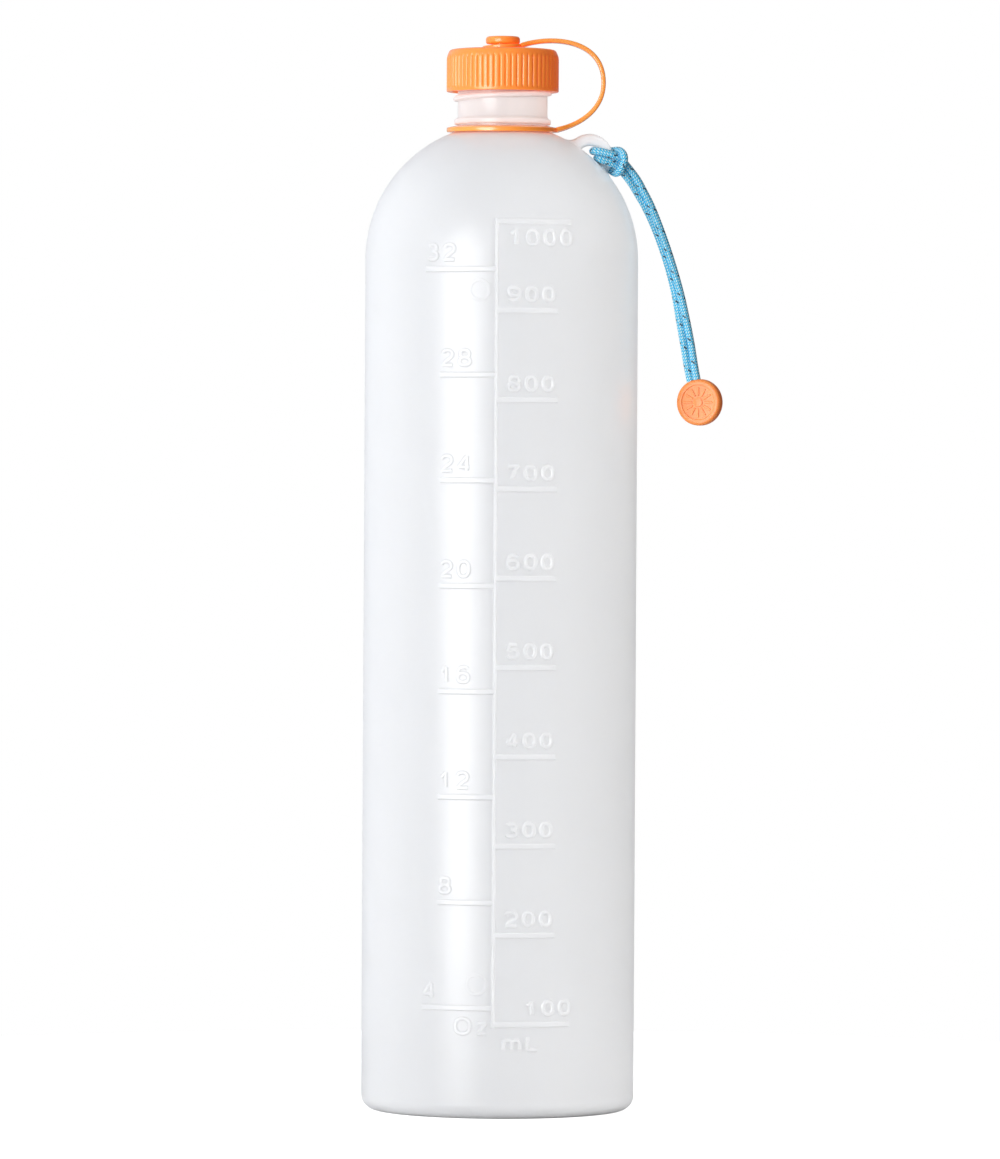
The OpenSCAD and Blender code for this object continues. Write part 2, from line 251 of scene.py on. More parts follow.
def add_node(tree, kind, settings=None, inputs=None):
    """Adds one node. An input's value is a socket to link or a constant to set."""
    node = tree.nodes.new(kind)
    for name, value in (settings or {}).items():
        setattr(node, name, value)
    for key, value in (inputs or {}).items():
        if isinstance(value, bpy.types.NodeSocket):
            tree.links.new(value, node.inputs[key])
        else:
            node.inputs[key].default_value = value
    return node


def arc(centre, radius, start, end, steps):
    """Points on an arc of a profile, with its angles in degrees."""
    turns = np.radians(np.linspace(start, end, steps + 1))
    return [(centre[0] + radius * math.cos(a), centre[1] + radius * math.sin(a)) for a in turns]


def unit(v):
    """The vector at length one."""
    return v / np.linalg.norm(v)


def mesh_object(name, points, faces):
    """A smooth-shaded object from points in millimetres."""
    mesh = bpy.data.meshes.new(name)
    mesh.from_pydata([tuple(p) for p in np.asarray(points, float) * MM], [], faces)
    mesh.validate()
    mesh.shade_smooth()
    made = bpy.data.objects.new(name, mesh)
    bpy.context.scene.collection.objects.link(made)
    return made


def revolve(name, profile, segments):
    """A closed solid of revolution about Z. The profile runs (radius, height), anticlockwise.

    It is a ring where it closes on itself, and otherwise it starts and ends on the axis.
    """
    on_axis = profile[0][0] == 0
    body = profile[1:-1] if on_axis else profile
    turns = np.linspace(0, 2 * math.pi, segments, endpoint=False)
    points = [(r * math.cos(a), r * math.sin(a), z) for r, z in body for a in turns]
    rows = len(body)
    faces = []
    for i in range(rows - 1 if on_axis else rows):
        low, high = i * segments, (i + 1) % rows * segments
        for k in range(segments):
            after = (k + 1) % segments
            faces.append((low + k, low + after, high + after, high + k))
    if on_axis:
        first, last = len(points), len(points) + 1
        points += [(0, 0, profile[0][1]), (0, 0, profile[-1][1])]
        end = (rows - 1) * segments
        for k in range(segments):
            after = (k + 1) % segments
            faces.append((first, after, k))
            faces.append((last, end + k, end + after))
    return mesh_object(name, points, faces)


def rounded_section(wide, high, edge):
    """A rounded rectangle round its middle, from its half width, half height and edge radius."""
    made = []
    for x, y, start in ((1, 1, 0), (-1, 1, 90), (-1, -1, 180), (1, -1, 270)):
        made += arc((x * (wide - edge), y * (high - edge)), edge, start, start + 90, 4)
    return made


def loft(name, sections):
    """A closed solid through equal rings of points, capped at both ends."""
    corners = len(sections[0])
    points = [p for section in sections for p in section]
    faces = [tuple(range(corners - 1, -1, -1))]
    for i in range(len(sections) - 1):
        for k in range(corners):
            a, b = i * corners + k, i * corners + (k + 1) % corners
            faces.append((a, b, b + corners, a + corners))
    faces.append(tuple((len(sections) - 1) * corners + k for k in range(corners)))
    made = mesh_object(name, points, faces)
    face_outwards(made)
    return made


def edit(thing, change):
    """Runs change on the object's mesh as a bmesh."""
    held = bmesh.new()
    held.from_mesh(thing.data)
    change(held)
    held.to_mesh(thing.data)
    held.free()


def face_outwards(thing):
    """Merges doubles and turns every face outwards."""

    def change(held):
        bmesh.ops.remove_doubles(held, verts=held.verts, dist=1e-7)
        bmesh.ops.recalc_face_normals(held, faces=held.faces)

    edit(thing, change)


def flatten(thing):
    """Applies what is live on the object, and leaves it a plain mesh."""
    depsgraph = bpy.context.evaluated_depsgraph_get()
    final = bpy.data.meshes.new_from_object(
        thing.evaluated_get(depsgraph), preserve_all_data_layers=True, depsgraph=depsgraph
    )
    thing.modifiers.clear()
    thing.data = final
    return thing


def unite(thing, others):
    """Unites closed meshes with the first one, and removes the others."""
    group = bpy.data.collections.new("united")
    for other in others:
        group.objects.link(other)
    modifier = thing.modifiers.new("Unite", "BOOLEAN")
    modifier.operation = "UNION"
    modifier.solver = "MANIFOLD"
    modifier.operand_type = "COLLECTION"
    modifier.collection = group
    before = len(thing.data.polygons)
    flatten(thing)
    for other in others:
        bpy.data.objects.remove(other)
    bpy.data.collections.remove(group)
    if len(thing.data.polygons) <= before:
        raise RuntimeError(f"{thing.name}: the union added nothing")


def dress(thing, material, body=None, node=None, sharp=30):
    """Gives a finished piece its material, the body it rides on and the node it stands for."""
    thing.data.materials.clear()
    thing.data.materials.append(material)
    thing.data.shade_smooth()
    thing.data.set_sharp_from_angle(angle=math.radians(sharp))
    if body:
        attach(thing, body)
    if node:
        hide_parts(node)


def geometry_tree(name, inputs):
    """A geometry tree with a mesh input and named inputs. Returns the tree and its input sockets."""
    tree = bpy.data.node_groups.new(name, "GeometryNodeTree")
    tree.interface.new_socket("Geometry", in_out="INPUT", socket_type="NodeSocketGeometry")
    for label, kind in inputs.items():
        tree.interface.new_socket(label, in_out="INPUT", socket_type="NodeSocket" + kind)
    tree.interface.new_socket("Geometry", in_out="OUTPUT", socket_type="NodeSocketGeometry")
    return tree, tree.nodes.new("NodeGroupInput").outputs


def close_tree(tree, geometry, material):
    """Realizes what the tree made and gives it its material."""
    real = add_node(tree, "GeometryNodeRealizeInstances", inputs={"Geometry": geometry}).outputs[0]
    done = add_node(tree, "GeometryNodeSetMaterial", inputs={"Geometry": real, "Material": material})
    add_node(tree, "NodeGroupOutput", inputs={"Geometry": done.outputs[0]})


def grow(name, tree, values, mesh=None):
    """Runs a geometry tree on a mesh and returns the plain result as a new object."""
    made = bpy.data.objects.new(name, mesh or bpy.data.meshes.new(name))
    bpy.context.scene.collection.objects.link(made)
    modifier = made.modifiers.new("Grow", "NODES")
    modifier.node_group = tree
    for item in tree.interface.items_tree:
        if item.in_out == "INPUT" and item.name in values:
            modifier[item.identifier] = values[item.name]
    return flatten(made)


# ---------------------------------------------------------------- finishes


def new_material(name, settings):
    """A material with one Principled shader, whose sockets take the settings."""
    material = bpy.data.materials.new(name)
    material.use_nodes = True
    tree = material.node_tree
    tree.nodes.clear()
    shader = add_node(tree, "ShaderNodeBsdfPrincipled", inputs=settings)
    add_node(tree, "ShaderNodeOutputMaterial", inputs={"Surface": shader.outputs[0]})
    return material, tree, shader


def grain(tree, millimetres, detail=2.0):
    """Noise whose bumps are that many millimetres across."""
    place = add_node(tree, "ShaderNodeTexCoord").outputs["Object"]
    settings = {"Vector": place, "Scale": 1 / (millimetres * MM), "Detail": detail}
    return add_node(tree, "ShaderNodeTexNoise", inputs=settings).outputs["Fac"]


def clouds(tree, width, rgba, share):
    """Soft clouds of that many millimetres, from a colour to a darker share of it."""
    inputs = {"Value": grain(tree, width), "From Min": 0.3, "From Max": 0.7}
    cloud = add_node(tree, "ShaderNodeMapRange", inputs=inputs).outputs[0]
    darker = tuple(c * share for c in rgba[:3]) + (1.0,)
    mix = add_node(tree, "ShaderNodeMix", {"data_type": "RGBA"}, {"Factor": cloud, 6: rgba, 7: darker})
    return mix.outputs[2]


def emboss(tree, shader, *layers):
    """Relief of the skin, from the coarsest layer up.

    Each layer has the width and the rise of its bumps in millimetres, its strength and its detail.
    """
    below = {}
    for width, rise, strength, detail in layers:
        height = grain(tree, width, detail)
        inputs = {"Height": height, "Distance": rise * MM, "Strength": strength, **below}
        below = {"Normal": add_node(tree, "ShaderNodeBump", inputs=inputs).outputs[0]}
    tree.links.new(below["Normal"], shader.inputs["Normal"])


def milky_polyethylene(finishes):
    """Natural HDPE, blow-moulded in a blasted steel mould: milky, with a satin orange-peel skin."""
    material, tree, shader = new_material(
        "milky_polyethylene",
        {
            "Roughness": 0.3,
            "IOR": 1.54,
            "Subsurface Weight": 1.0,
            "Subsurface Radius": (1.0, 0.98, 0.95),
            "Subsurface Scale": 3.0 * MM,
            # Painted glow: the wall emits faintly in its own colour.
            "Emission Strength": 0.015,
        },
    )
    # The parison's wall is a little thicker here and thinner there, in patches of about 40 mm.
    cloud = clouds(tree, 40, tuple(finishes.shell), 0.985)
    # Painted light: orange light that came through the cap and collar is painted into the neck's colour and
    # fades down the shoulder.
    place = add_node(tree, "ShaderNodeTexCoord").outputs["Object"]
    height = add_node(tree, "ShaderNodeSeparateXYZ", inputs={0: place}).outputs["Z"]
    glow = add_node(
        tree,
        "ShaderNodeMapRange",
        {"interpolation_type": "SMOOTHSTEP"},
        {"Value": height, "From Min": 265 * MM, "From Max": 272 * MM, "To Max": 0.85},
    ).outputs[0]
    colours = {"Factor": glow, 6: cloud, 7: tuple(finishes.shell_painted_cap_light)}
    warm = add_node(tree, "ShaderNodeMix", {"data_type": "RGBA"}, colours)
    tree.links.new(warm.outputs[2], shader.inputs["Base Color"])
    # Painted glow: a faint emission in the wall's own colour stands for light that has gone round inside the
    # hollow bottle and leaves the wall evenly.
    tree.links.new(warm.outputs[2], shader.inputs["Emission Color"])
    # Orange peel of the blasted mould: 1.6 mm swells under a finer grain of 0.45 mm.
    emboss(tree, shader, (1.6, 0.02, 0.5, 2), (0.45, 0.01, 0.5, 2))
    return material


def moulded_orange(name, rgba, roughness, glow, skin):
    """Injection-moulded polyolefin in an orange masterbatch: satin, slightly waxy, with fine spark grain."""
    material, tree, shader = new_material(
        name,
        {
            "Roughness": roughness,
            "IOR": 1.49,
            "Subsurface Weight": 0.3,
            "Subsurface Radius": (1.0, 0.45, 0.15),
            "Subsurface Scale": 1.2 * MM,
            # Painted glow: a deep red emission stands for light that has gone through the thin orange wall
            # and come out of it.
            "Emission Color": linear("#FF4A10"),
            "Emission Strength": glow,
            # The skin that lay against the polished mould is glossier than what is under it.
            "Coat Weight": skin,
            "Coat Roughness": 0.14,
        },
    )
    # Flow of the melt carries the pigment in faint clouds of about 6 mm.
    tree.links.new(clouds(tree, 6, rgba, 0.94), shader.inputs["Base Color"])
    # Spark-eroded mould grain of about 0.3 mm.
    emboss(tree, shader, (0.3, 0.004, 0.4, 2))
    return material


def foamed_polyethylene(finishes):
    """Closed-cell foam sheet of the liner: matt, with cells of about 0.4 mm."""
    material, tree, shader = new_material("foamed_polyethylene", {"Roughness": 0.75})
    cell = 0.4
    tree.links.new(clouds(tree, cell, tuple(finishes.liner), 0.93), shader.inputs["Base Color"])
    emboss(tree, shader, (cell, 0.03, 0.8, 2))
    return material


def braided_polyester(finishes):
    """Braided sheath of filament polyester: blue picks with painted shade in their gaps, a painted highlight
    on one way's picks, and a dark tracer.
    """
    material, tree, shader = new_material(
        "braided_polyester", {"Roughness": 0.5, "Sheen Weight": 0.1, "Sheen Roughness": 0.4}
    )
    rise, pale, dark = (
        add_node(tree, "ShaderNodeAttribute", {"attribute_name": name}).outputs["Fac"]
        for name in ("rise", "pale", "tracer")
    )
    flank = add_node(tree, "ShaderNodeMapRange", inputs={"Value": rise, "From Min": 0.2, "From Max": 0.7})
    crown = add_node(tree, "ShaderNodeMapRange", inputs={"Value": pale, "From Max": 0.6})
    # From the painted shade of the gaps over the yarn's flank to the painted highlight on the crowns of one
    # way's picks, and the tracer over both.
    yarn = tuple(finishes.cord_gap)
    for share, rgba in (
        (flank.outputs[0], finishes.cord),
        (crown.outputs[0], finishes.crown),
        (dark, finishes.tracer),
    ):
        colours = {"Factor": share, 6: yarn, 7: tuple(rgba)}
        yarn = add_node(tree, "ShaderNodeMix", {"data_type": "RGBA"}, colours).outputs[2]
    tree.links.new(yarn, shader.inputs["Base Color"])
    # Single filaments, drawn at 0.08 mm so that they still show.
    emboss(tree, shader, (0.08, 0.02, 0.5, 1))
    return material


# ---------------------------------------------------------------- lanyard

# The two hanging strands share one middle line from the puller to the eyelet:
# x, y, z in millimetres and the angle by which the pair is twisted.
LEAD = [
    (53.4, 0.5, 199, 22), (52.3, 0.3, 204.4, 15), (51.2, 0.1, 210.9, 8), (50, 0, 217.2, 22),
    (48.4, 0, 225, 44), (46, 0, 233.6, 54), (43.2, -0.1, 241.6, 52),
    (40.4, -0.2, 248.2, 40), (38, -0.3, 252.6, 24), (36.1, -0.5, 255.8, 8),
]
# The girth hitch round the arch, turned about the eyelet's centre by HITCH_TURN:
# distance outwards, distance across, distance behind the eyelet's plane.
HITCH_TURN = -15
HITCH = [
    (9.6, -1.3, -0.9), (8.5, -0.4, -1.1), (7.4, -0.05, -1.75), (6, 0.05, -2.5),
    (3.4, 0.2, -2.5), (2.3, 0.4, -1.2), (2.1, 0.4, 0), (2.2, 0.35, 1.2),
    (3.2, 0.1, 2.4), (5.2, -0.8, 2.75), (6.7, -1.8, 1.9), (7.7, -2.2, 0.3),
    (8.5, -2.15, -1.5), (9.2, -1.1, -3), (9.5, 0.5, -3.5), (9.4, 1.9, -3.45),
    (8.9, 3.05, -2.7), (8, 3.8, -1), (7, 3.95, 0.9), (5.2, 3.35, 2.5),
    (2.6, 2.4, 2.6), (1.1, 2.05, 1.6), (0.5, 1.95, 0.3), (0.8, 2, -1.2),
    (1.7, 2.15, -2.4), (3.4, 2.3, -2.75), (6, 2.25, -2.6), (7.6, 1.85, -1.7),
    (8.9, 1.4, -1.1), (10.2, 0.7, -0.75),
]
PULLER_AT = (54.7, 0, 194.85)
CORD_STEP = 0.12  # millimetres between the cord's rings, fine enough for its picks
CORD_SIDES = 56
# The braid turns this many times in a metre of cord, and starts turned by a share of one turn.
BRAID_TWIST = 2.2
BRAID_START = -0.21


def eyelet_centre(bottle):
    """The arch's centre, in the plane y = 0: x and z in millimetres."""
    rise = bottle.body_r - bottle.arch_sink
    turn = math.radians(bottle.arch_angle)
    return rise * math.cos(turn), bottle.body_h + rise * math.sin(turn)


def strand(side, gap):
    """One of the two hanging strands, from the puller up to the hitch."""
    made = []
    for i, (x, y, z, twist) in enumerate(LEAD):
        before, after = LEAD[max(i - 1, 0)], LEAD[min(i + 1, len(LEAD) - 1)]
        way = unit(np.subtract(after[:3], before[:3]))
        across = unit(np.array([way[2], 0, -way[0]]))
        turn = math.radians(twist)
        made.append(
            np.array([x, y, z])
            + side * gap / 2 * (math.cos(turn) * across - np.array([0, math.sin(turn), 0]))
        )
    return made


def cord_route(bottle, lanyard):
    """The cord's route from one end in the puller, round the arch and back, in millimetres."""
    ex, ez = eyelet_centre(bottle)
    c, s = math.cos(math.radians(HITCH_TURN)), math.sin(math.radians(HITCH_TURN))
    hitch = [np.array([ex + out * c - over * s, back, ez + out * s + over * c]) for out, over, back in HITCH]
    return strand(-1, lanyard.gap) + hitch + strand(1, lanyard.gap)[::-1]


def smooth_route(route, spacing):
    """A Catmull-Rom curve through the route, with points at an even spacing."""
    ends = [2 * route[0] - route[1]] + route + [2 * route[-1] - route[-2]]
    fine = []
    for i in range(1, len(ends) - 2):
        p0, p1, p2, p3 = ends[i - 1 : i + 3]
        for t in np.linspace(0, 1, 12, endpoint=False):
            fine.append(
                0.5
                * (2 * p1 + (p2 - p0) * t + (2 * p0 - 5 * p1 + 4 * p2 - p3) * t**2
                   + (3 * p1 - p0 - 3 * p2 + p3) * t**3)
            )
    fine = np.array(fine + [route[-1]])
    run = np.concatenate([[0], np.cumsum(np.linalg.norm(np.diff(fine, axis=0), axis=1))])
    even = np.linspace(0, run[-1], int(run[-1] / spacing) + 1)
    return np.column_stack([np.interp(even, run, fine[:, k]) for k in range(3)])


def braid_tree():
    """Sweeps a round cord along its route and raises the picks of a tubular braid on it.

    Carriers run round the cord both ways. Where two cross, they pass over in turn, so each
    meeting is one pick, and a few picks of one carrier are the dark tracer.
    """
    tree, sockets = geometry_tree(
        "braid",
        {
            "Radius": "Float", "Sides": "Int", "Carriers": "Float", "Pick": "Float",
            "Relief": "Float", "Twist": "Float", "Start": "Float", "Material": "Material",
        },
    )
    path = add_node(tree, "GeometryNodeMeshToCurve", inputs={"Mesh": sockets["Geometry"]}).outputs[0]
    centre = add_node(tree, "GeometryNodeInputPosition").outputs[0]
    along = add_node(tree, "GeometryNodeSplineParameter").outputs["Length"]
    held = add_node(tree, "GeometryNodeCaptureAttribute")
    held.capture_items.new("VECTOR", "Centre")
    held.capture_items.new("FLOAT", "Along")
    for key, value in ((0, path), (1, centre), (2, along)):
        tree.links.new(value, held.inputs[key])
    ring = add_node(
        tree,
        "GeometryNodeCurvePrimitiveCircle",
        inputs={"Resolution": sockets["Sides"], "Radius": sockets["Radius"]},
    ).outputs[0]
    turn = add_node(tree, "GeometryNodeSplineParameter").outputs["Factor"]
    rung = add_node(tree, "GeometryNodeCaptureAttribute")
    rung.capture_items.new("FLOAT", "Around")
    tree.links.new(ring, rung.inputs[0])
    tree.links.new(turn, rung.inputs[1])
    tube = add_node(
        tree,
        "GeometryNodeCurveToMesh",
        inputs={"Curve": held.outputs[0], "Profile Curve": rung.outputs[0], "Fill Caps": True},
    ).outputs[0]

    # One way's carriers are numbered by "right" and the other way's by "left".
    steps = {"around": rung.outputs[1], "along": held.outputs[2]}
    steps |= {name.lower(): sockets[name] for name in ("Carriers", "Pick", "Relief", "Twist", "Start")}
    for name, operation, *operands in (
        ("wound", "MULTIPLY_ADD", "along", "twist", "start"),
        ("turned", "ADD", "around", "wound"),
        ("column", "MULTIPLY", "turned", "carriers"),
        ("row", "DIVIDE", "along", "pick"),
        ("right", "ADD", "column", "row"),
        ("left", "SUBTRACT", "column", "row"),
        ("right_part", "FRACT", "right"),
        ("left_part", "FRACT", "left"),
        ("right_number", "FLOOR", "right"),
        ("left_number", "FLOOR", "left"),
        ("meeting", "ADD", "right_number", "left_number"),
        ("left_on_top", "FLOORED_MODULO", "meeting", 2.0),
        # The carrier on top is rounded across its width and dips where it goes under at its ends.
        ("apart", "SUBTRACT", "left_part", "right_part"),
        ("swap", "MULTIPLY", "apart", "left_on_top"),
        ("across", "ADD", "right_part", "swap"),
        ("onwards", "SUBTRACT", "left_part", "swap"),
        ("across_turn", "MULTIPLY", "across", math.pi),
        ("onwards_turn", "MULTIPLY", "onwards", math.pi),
        ("across_hill", "SINE", "across_turn"),
        ("onwards_hill", "SINE", "onwards_turn"),
        ("crown", "POWER", "across_hill", 0.5),
        ("dip", "MULTIPLY_ADD", "onwards_hill", 0.6, 0.4),
        ("rise", "MULTIPLY", "crown", "dip"),
        ("below_crown", "SUBTRACT", "rise", 1.0),
        ("lift", "MULTIPLY", "below_crown", "relief"),
        # Where the painted highlight lies: an oval round the middle of each float of one way's picks.
        ("sum", "ADD", "right", "left_number"),
        ("sum_begin", "SUBTRACT", "sum", 0.5),
        ("float", "FLOORED_MODULO", "sum_begin", 2.0),
        ("float_off", "SUBTRACT", "float", 1.0),
        ("float_share", "DIVIDE", "float_off", 0.85),
        ("strip_off", "SUBTRACT", "left_part", 0.5),
        ("strip_share", "DIVIDE", "strip_off", 0.45),
        ("float_square", "MULTIPLY", "float_share", "float_share"),
        ("outside", "MULTIPLY_ADD", "strip_share", "strip_share", "float_square"),
        ("pale", "SUBTRACT", 1.0, "outside"),
        # One carrier of the other way is dark, and floats up at every fourth meeting.
        ("yarn", "FLOORED_MODULO", "right_number", "carriers"),
        ("other_yarn", "GREATER_THAN", "yarn", 0.5),
        ("begin", "ADD", "left", 0.55),
        ("turn_of_it", "FLOORED_MODULO", "begin", 4.0),
        ("under", "GREATER_THAN", "turn_of_it", 2.1),
        ("off_middle", "SUBTRACT", "right_part", 0.5),
        ("aside", "ABSOLUTE", "off_middle"),
        ("beside", "GREATER_THAN", "aside", 0.33),
        ("hidden", "ADD", "other_yarn", "under"),
        ("not_it", "ADD", "hidden", "beside"),
        ("tracer", "LESS_THAN", "not_it", 0.5),
    ):
        values = {i: steps.get(value, value) for i, value in enumerate(operands)}
        steps[name] = add_node(tree, "ShaderNodeMath", {"operation": operation}, values).outputs[0]

    place = add_node(tree, "GeometryNodeInputPosition").outputs[0]
    spoke = add_node(
        tree, "ShaderNodeVectorMath", {"operation": "SUBTRACT"}, {0: place, 1: held.outputs[1]}
    ).outputs[0]
    out = add_node(tree, "ShaderNodeVectorMath", {"operation": "NORMALIZE"}, {0: spoke}).outputs[0]
    offset = add_node(
        tree, "ShaderNodeVectorMath", {"operation": "SCALE"}, {0: out, "Scale": steps["lift"]}
    ).outputs[0]
    inputs = {"Geometry": tube, "Offset": offset}
    raised = add_node(tree, "GeometryNodeSetPosition", inputs=inputs).outputs[0]
    for name in ("rise", "pale", "tracer"):
        raised = add_node(
            tree,
            "GeometryNodeStoreNamedAttribute",
            inputs={"Geometry": raised, "Name": name, "Value": steps[name]},
        ).outputs[0]
    close_tree(tree, raised, sockets["Material"])
    return tree


class BOTTLE_OT_cord(bpy.types.Operator):
    """Makes the braided cord with its girth hitch round the eyelet"""

    bl_idname = "bottle.cord"
    bl_label = "Braided cord"

    def execute(self, context):
        bottle, lanyard = plain(context.scene.bottle_sizes), plain(context.scene.lanyard_sizes)
        route = smooth_route(cord_route(bottle, lanyard), CORD_STEP) * MM
        line = bpy.data.meshes.new("cord_route")
        line.from_pydata([tuple(p) for p in route], [(i, i + 1) for i in range(len(route) - 1)], [])
        cloth = braided_polyester(context.scene.finishes)
        cord = grow(
            "braided_cord",
            braid_tree(),
            {
                "Radius": lanyard.cord_d / 2 * MM,
                "Sides": CORD_SIDES,
                "Carriers": float(lanyard.carriers),
                "Pick": lanyard.pick * MM,
                "Relief": lanyard.relief * MM,
                "Twist": BRAID_TWIST,
                "Start": BRAID_START,
                "Material": cloth,
            },
            line,
        )
        dress(cord, cloth, "lanyard", "lanyard_cord", sharp=180)
        return {"FINISHED"}


class BOTTLE_OT_puller(bpy.types.Operator):
    """Makes the round puller with its raised rim and grip rays on both faces"""

    bl_idname = "bottle.puller"
    bl_label = "Puller"

    def execute(self, context):
        lanyard = plain(context.scene.lanyard_sizes)
        radius, half = lanyard.puller_r, lanyard.puller_t / 2
        rim, dish, edge = 1.35, 0.3, 0.9
        face = [(0, half - dish), (radius - rim - 0.35, half - dish)]
        face += arc((radius - rim - 0.15, half - 0.15), 0.15, 180, 90, 4)
        face += arc((radius - edge, half - edge), edge, 90, 0, 10)
        profile = [(r, -z) for r, z in face] + face[::-1]
        disc = revolve("puller_disc", profile, 128)
        raised = []
        button = [(0, -0.2), (1.3, -0.2)] + arc((1.15, 0.1), 0.15, 0, 90, 4) + [(0, 0.25)]
        for turn in (math.pi, 0):
            here = [revolve("button", button, 48)]
            here += [grip_ray(360 / lanyard.rays * k) for k in range(lanyard.rays)]
            place = Matrix.Rotation(turn, 4, "X") @ Matrix.Translation((0, 0, (half - dish) * MM))
            for piece in here:
                piece.data.transform(place)
            raised += here
        unite(disc, raised)
        upright = Matrix.Rotation(math.radians(90), 4, "X")
        turned = Matrix.Rotation(math.radians(-lanyard.puller_turn), 4, "Z")
        disc.data.transform(Matrix.Translation(Vector(PULLER_AT) * MM) @ turned @ upright)
        finishes = context.scene.finishes
        plastic = moulded_orange("satin_polypropylene", tuple(finishes.puller), 0.4, 0.12, 0.1)
        dress(disc, plastic, "lanyard", "puller", sharp=35)
        return {"FINISHED"}


def grip_ray(turn):
    """One low ray of the puller's face, a bar with rounded ends that points away from the middle."""
    inner, outer, wide, high = 2.0, 3.9, 0.3, 0.22
    middle = (inner + outer) / 2
    outline = arc((outer, 0), wide, -90, 90, 6) + arc((inner, 0), wide, 90, 270, 6)
    low = [(x, y, -0.2) for x, y in outline]
    top = [(x, y, high - 0.1) for x, y in outline]
    crown = [((x - middle) * 0.95 + middle, y * 0.6, high) for x, y in outline]
    made = loft("ray", [low, top, crown])
    made.data.transform(Matrix.Rotation(math.radians(turn), 4, "Z"))
    return made


# ---------------------------------------------------------------- bottle


def shell_profile(s):
    """The bottle's wall as one profile, from the base's middle up the skin and down the inside."""
    foot_r = s.body_r - s.corner - s.foot
    push_r = (foot_r**2 + s.push_up**2) / (2 * s.push_up)
    push_at = (0, s.push_up - push_r)
    profile = arc(push_at, push_r, 90, math.degrees(math.acos(foot_r / push_r)), 12)
    profile += arc((s.body_r - s.corner, s.corner), s.corner, -90, 0, 14)
    profile += [(s.body_r, z) for z in np.linspace(s.corner, s.body_h, 30)[1:-1]]

    # The shoulder runs into the neck over a small fillet.
    blend = 0.35
    root = s.body_h + math.sqrt((s.body_r + blend) ** 2 - (s.neck_r + blend) ** 2)
    lean = math.degrees(math.atan2(root - s.body_h, s.neck_r + blend))
    profile += arc((0, s.body_h), s.body_r, 0, lean, 56)
    profile += arc((s.neck_r + blend, root), blend, lean + 180, 180, 6)[1:]

    # The retaining bead has a steep lower face and a sloping upper one.
    lip = 0.3
    bead_r = s.neck_r + s.bead_out
    profile += [(s.neck_r, s.bead_at)]
    profile += arc((bead_r - lip, s.bead_at + lip), lip, -90, 0, 4)
    profile += arc((bead_r - lip, s.bead_at + s.bead_h - 2.4 * lip), lip, 0, 55, 4)
    profile += [(s.neck_r + 0.1, s.bead_at + s.bead_h), (s.neck_r, s.bead_at + s.bead_h + 0.2)]

    edge = 0.4
    bore = s.neck_r - s.neck_wall
    profile += [(s.neck_r, s.rim - 6)]
    profile += arc((s.neck_r - edge, s.rim - edge), edge, 0, 90, 5)
    profile += arc((bore + edge, s.rim - edge), edge, 90, 180, 5)

    inner_r = s.body_r - s.wall
    round_r = 1.5
    inner_root = s.body_h + math.sqrt((inner_r + round_r) ** 2 - (bore + round_r) ** 2)
    lean = math.degrees(math.atan2(inner_root - s.body_h, bore + round_r))
    profile += arc((bore + round_r, inner_root), round_r, 180, lean + 180, 6)
    profile += arc((0, s.body_h), inner_r, lean, 0, 40)[1:]
    profile += [(inner_r, z) for z in np.linspace(s.body_h, s.corner, 24)[1:-1]]
    profile += arc((s.body_r - s.corner, s.corner), s.corner - s.wall, 0, -90, 10)
    floor_r = push_r + s.wall
    floor_turn = math.degrees(math.asin((s.wall - push_at[1]) / floor_r))
    profile += arc(push_at, floor_r, floor_turn, 90, 12)
    return [(0 if i in (0, len(profile) - 1) else r, z) for i, (r, z) in enumerate(profile)]


def eyelet(s):
    """The eyelet's arch with filleted feet: rounded sections set along a half circle."""
    radius = s.body_r
    rise = radius - s.arch_sink
    feet = []
    for foot in (s.arch_foot, s.arch_foot_low):
        near, far = s.arch_r + foot, radius + foot
        # The fillet's centre beside the arch, in axes along the shoulder (x) and away from it (y).
        up = (far**2 - near**2 - rise**2) / (2 * rise)
        fillet = np.array([math.sqrt(near**2 - up**2), up])
        leaves = math.degrees(math.atan2(fillet[0], fillet[1]))
        meets = unit(fillet + [0, rise]) * radius - [0, rise]
        reaches = math.degrees(math.atan2(meets[0], meets[1]))
        feet.append((near, foot, fillet, leaves, reaches))
    half, edge, flare = s.arch_t / 2, 1.2, 1.4
    lean = math.radians(90 - s.arch_angle)
    ex, ez = eyelet_centre(s)
    sections = []
    for turn in np.linspace(-103, 103, 73):
        way = np.array([math.sin(math.radians(turn)), math.cos(math.radians(turn))])
        side = abs(turn)
        near, foot, fillet, leaves, reaches = feet[1 if turn > 0 else 0]
        outer = s.arch_r
        if side > reaches:
            inside = rise * way[1]
            outer = -inside + math.sqrt(inside**2 - rise**2 + radius**2) - 0.25
        elif side > leaves:
            reach = abs(way[0]) * fillet[0] + way[1] * fillet[1]
            outer = reach - math.sqrt(reach**2 - near**2 + foot**2)
        middle, deep = (outer + s.arch_hole) / 2, (outer - s.arch_hole) / 2
        ring = []
        for out, across in rounded_section(deep, half, edge):
            # The foot widens where it runs into the shoulder.
            flat = way * (middle + out)
            above = math.hypot(flat[0], flat[1] + rise) - radius
            low = min(max(flare - above, 0), flare)
            across *= 1 + (flare - math.sqrt(flare**2 - low**2)) / half
            x = flat[0] * math.cos(lean) + flat[1] * math.sin(lean)
            z = -flat[0] * math.sin(lean) + flat[1] * math.cos(lean)
            ring.append((ex + x, across, ez + z))
        sections.append(ring)
    return loft("eyelet", sections)


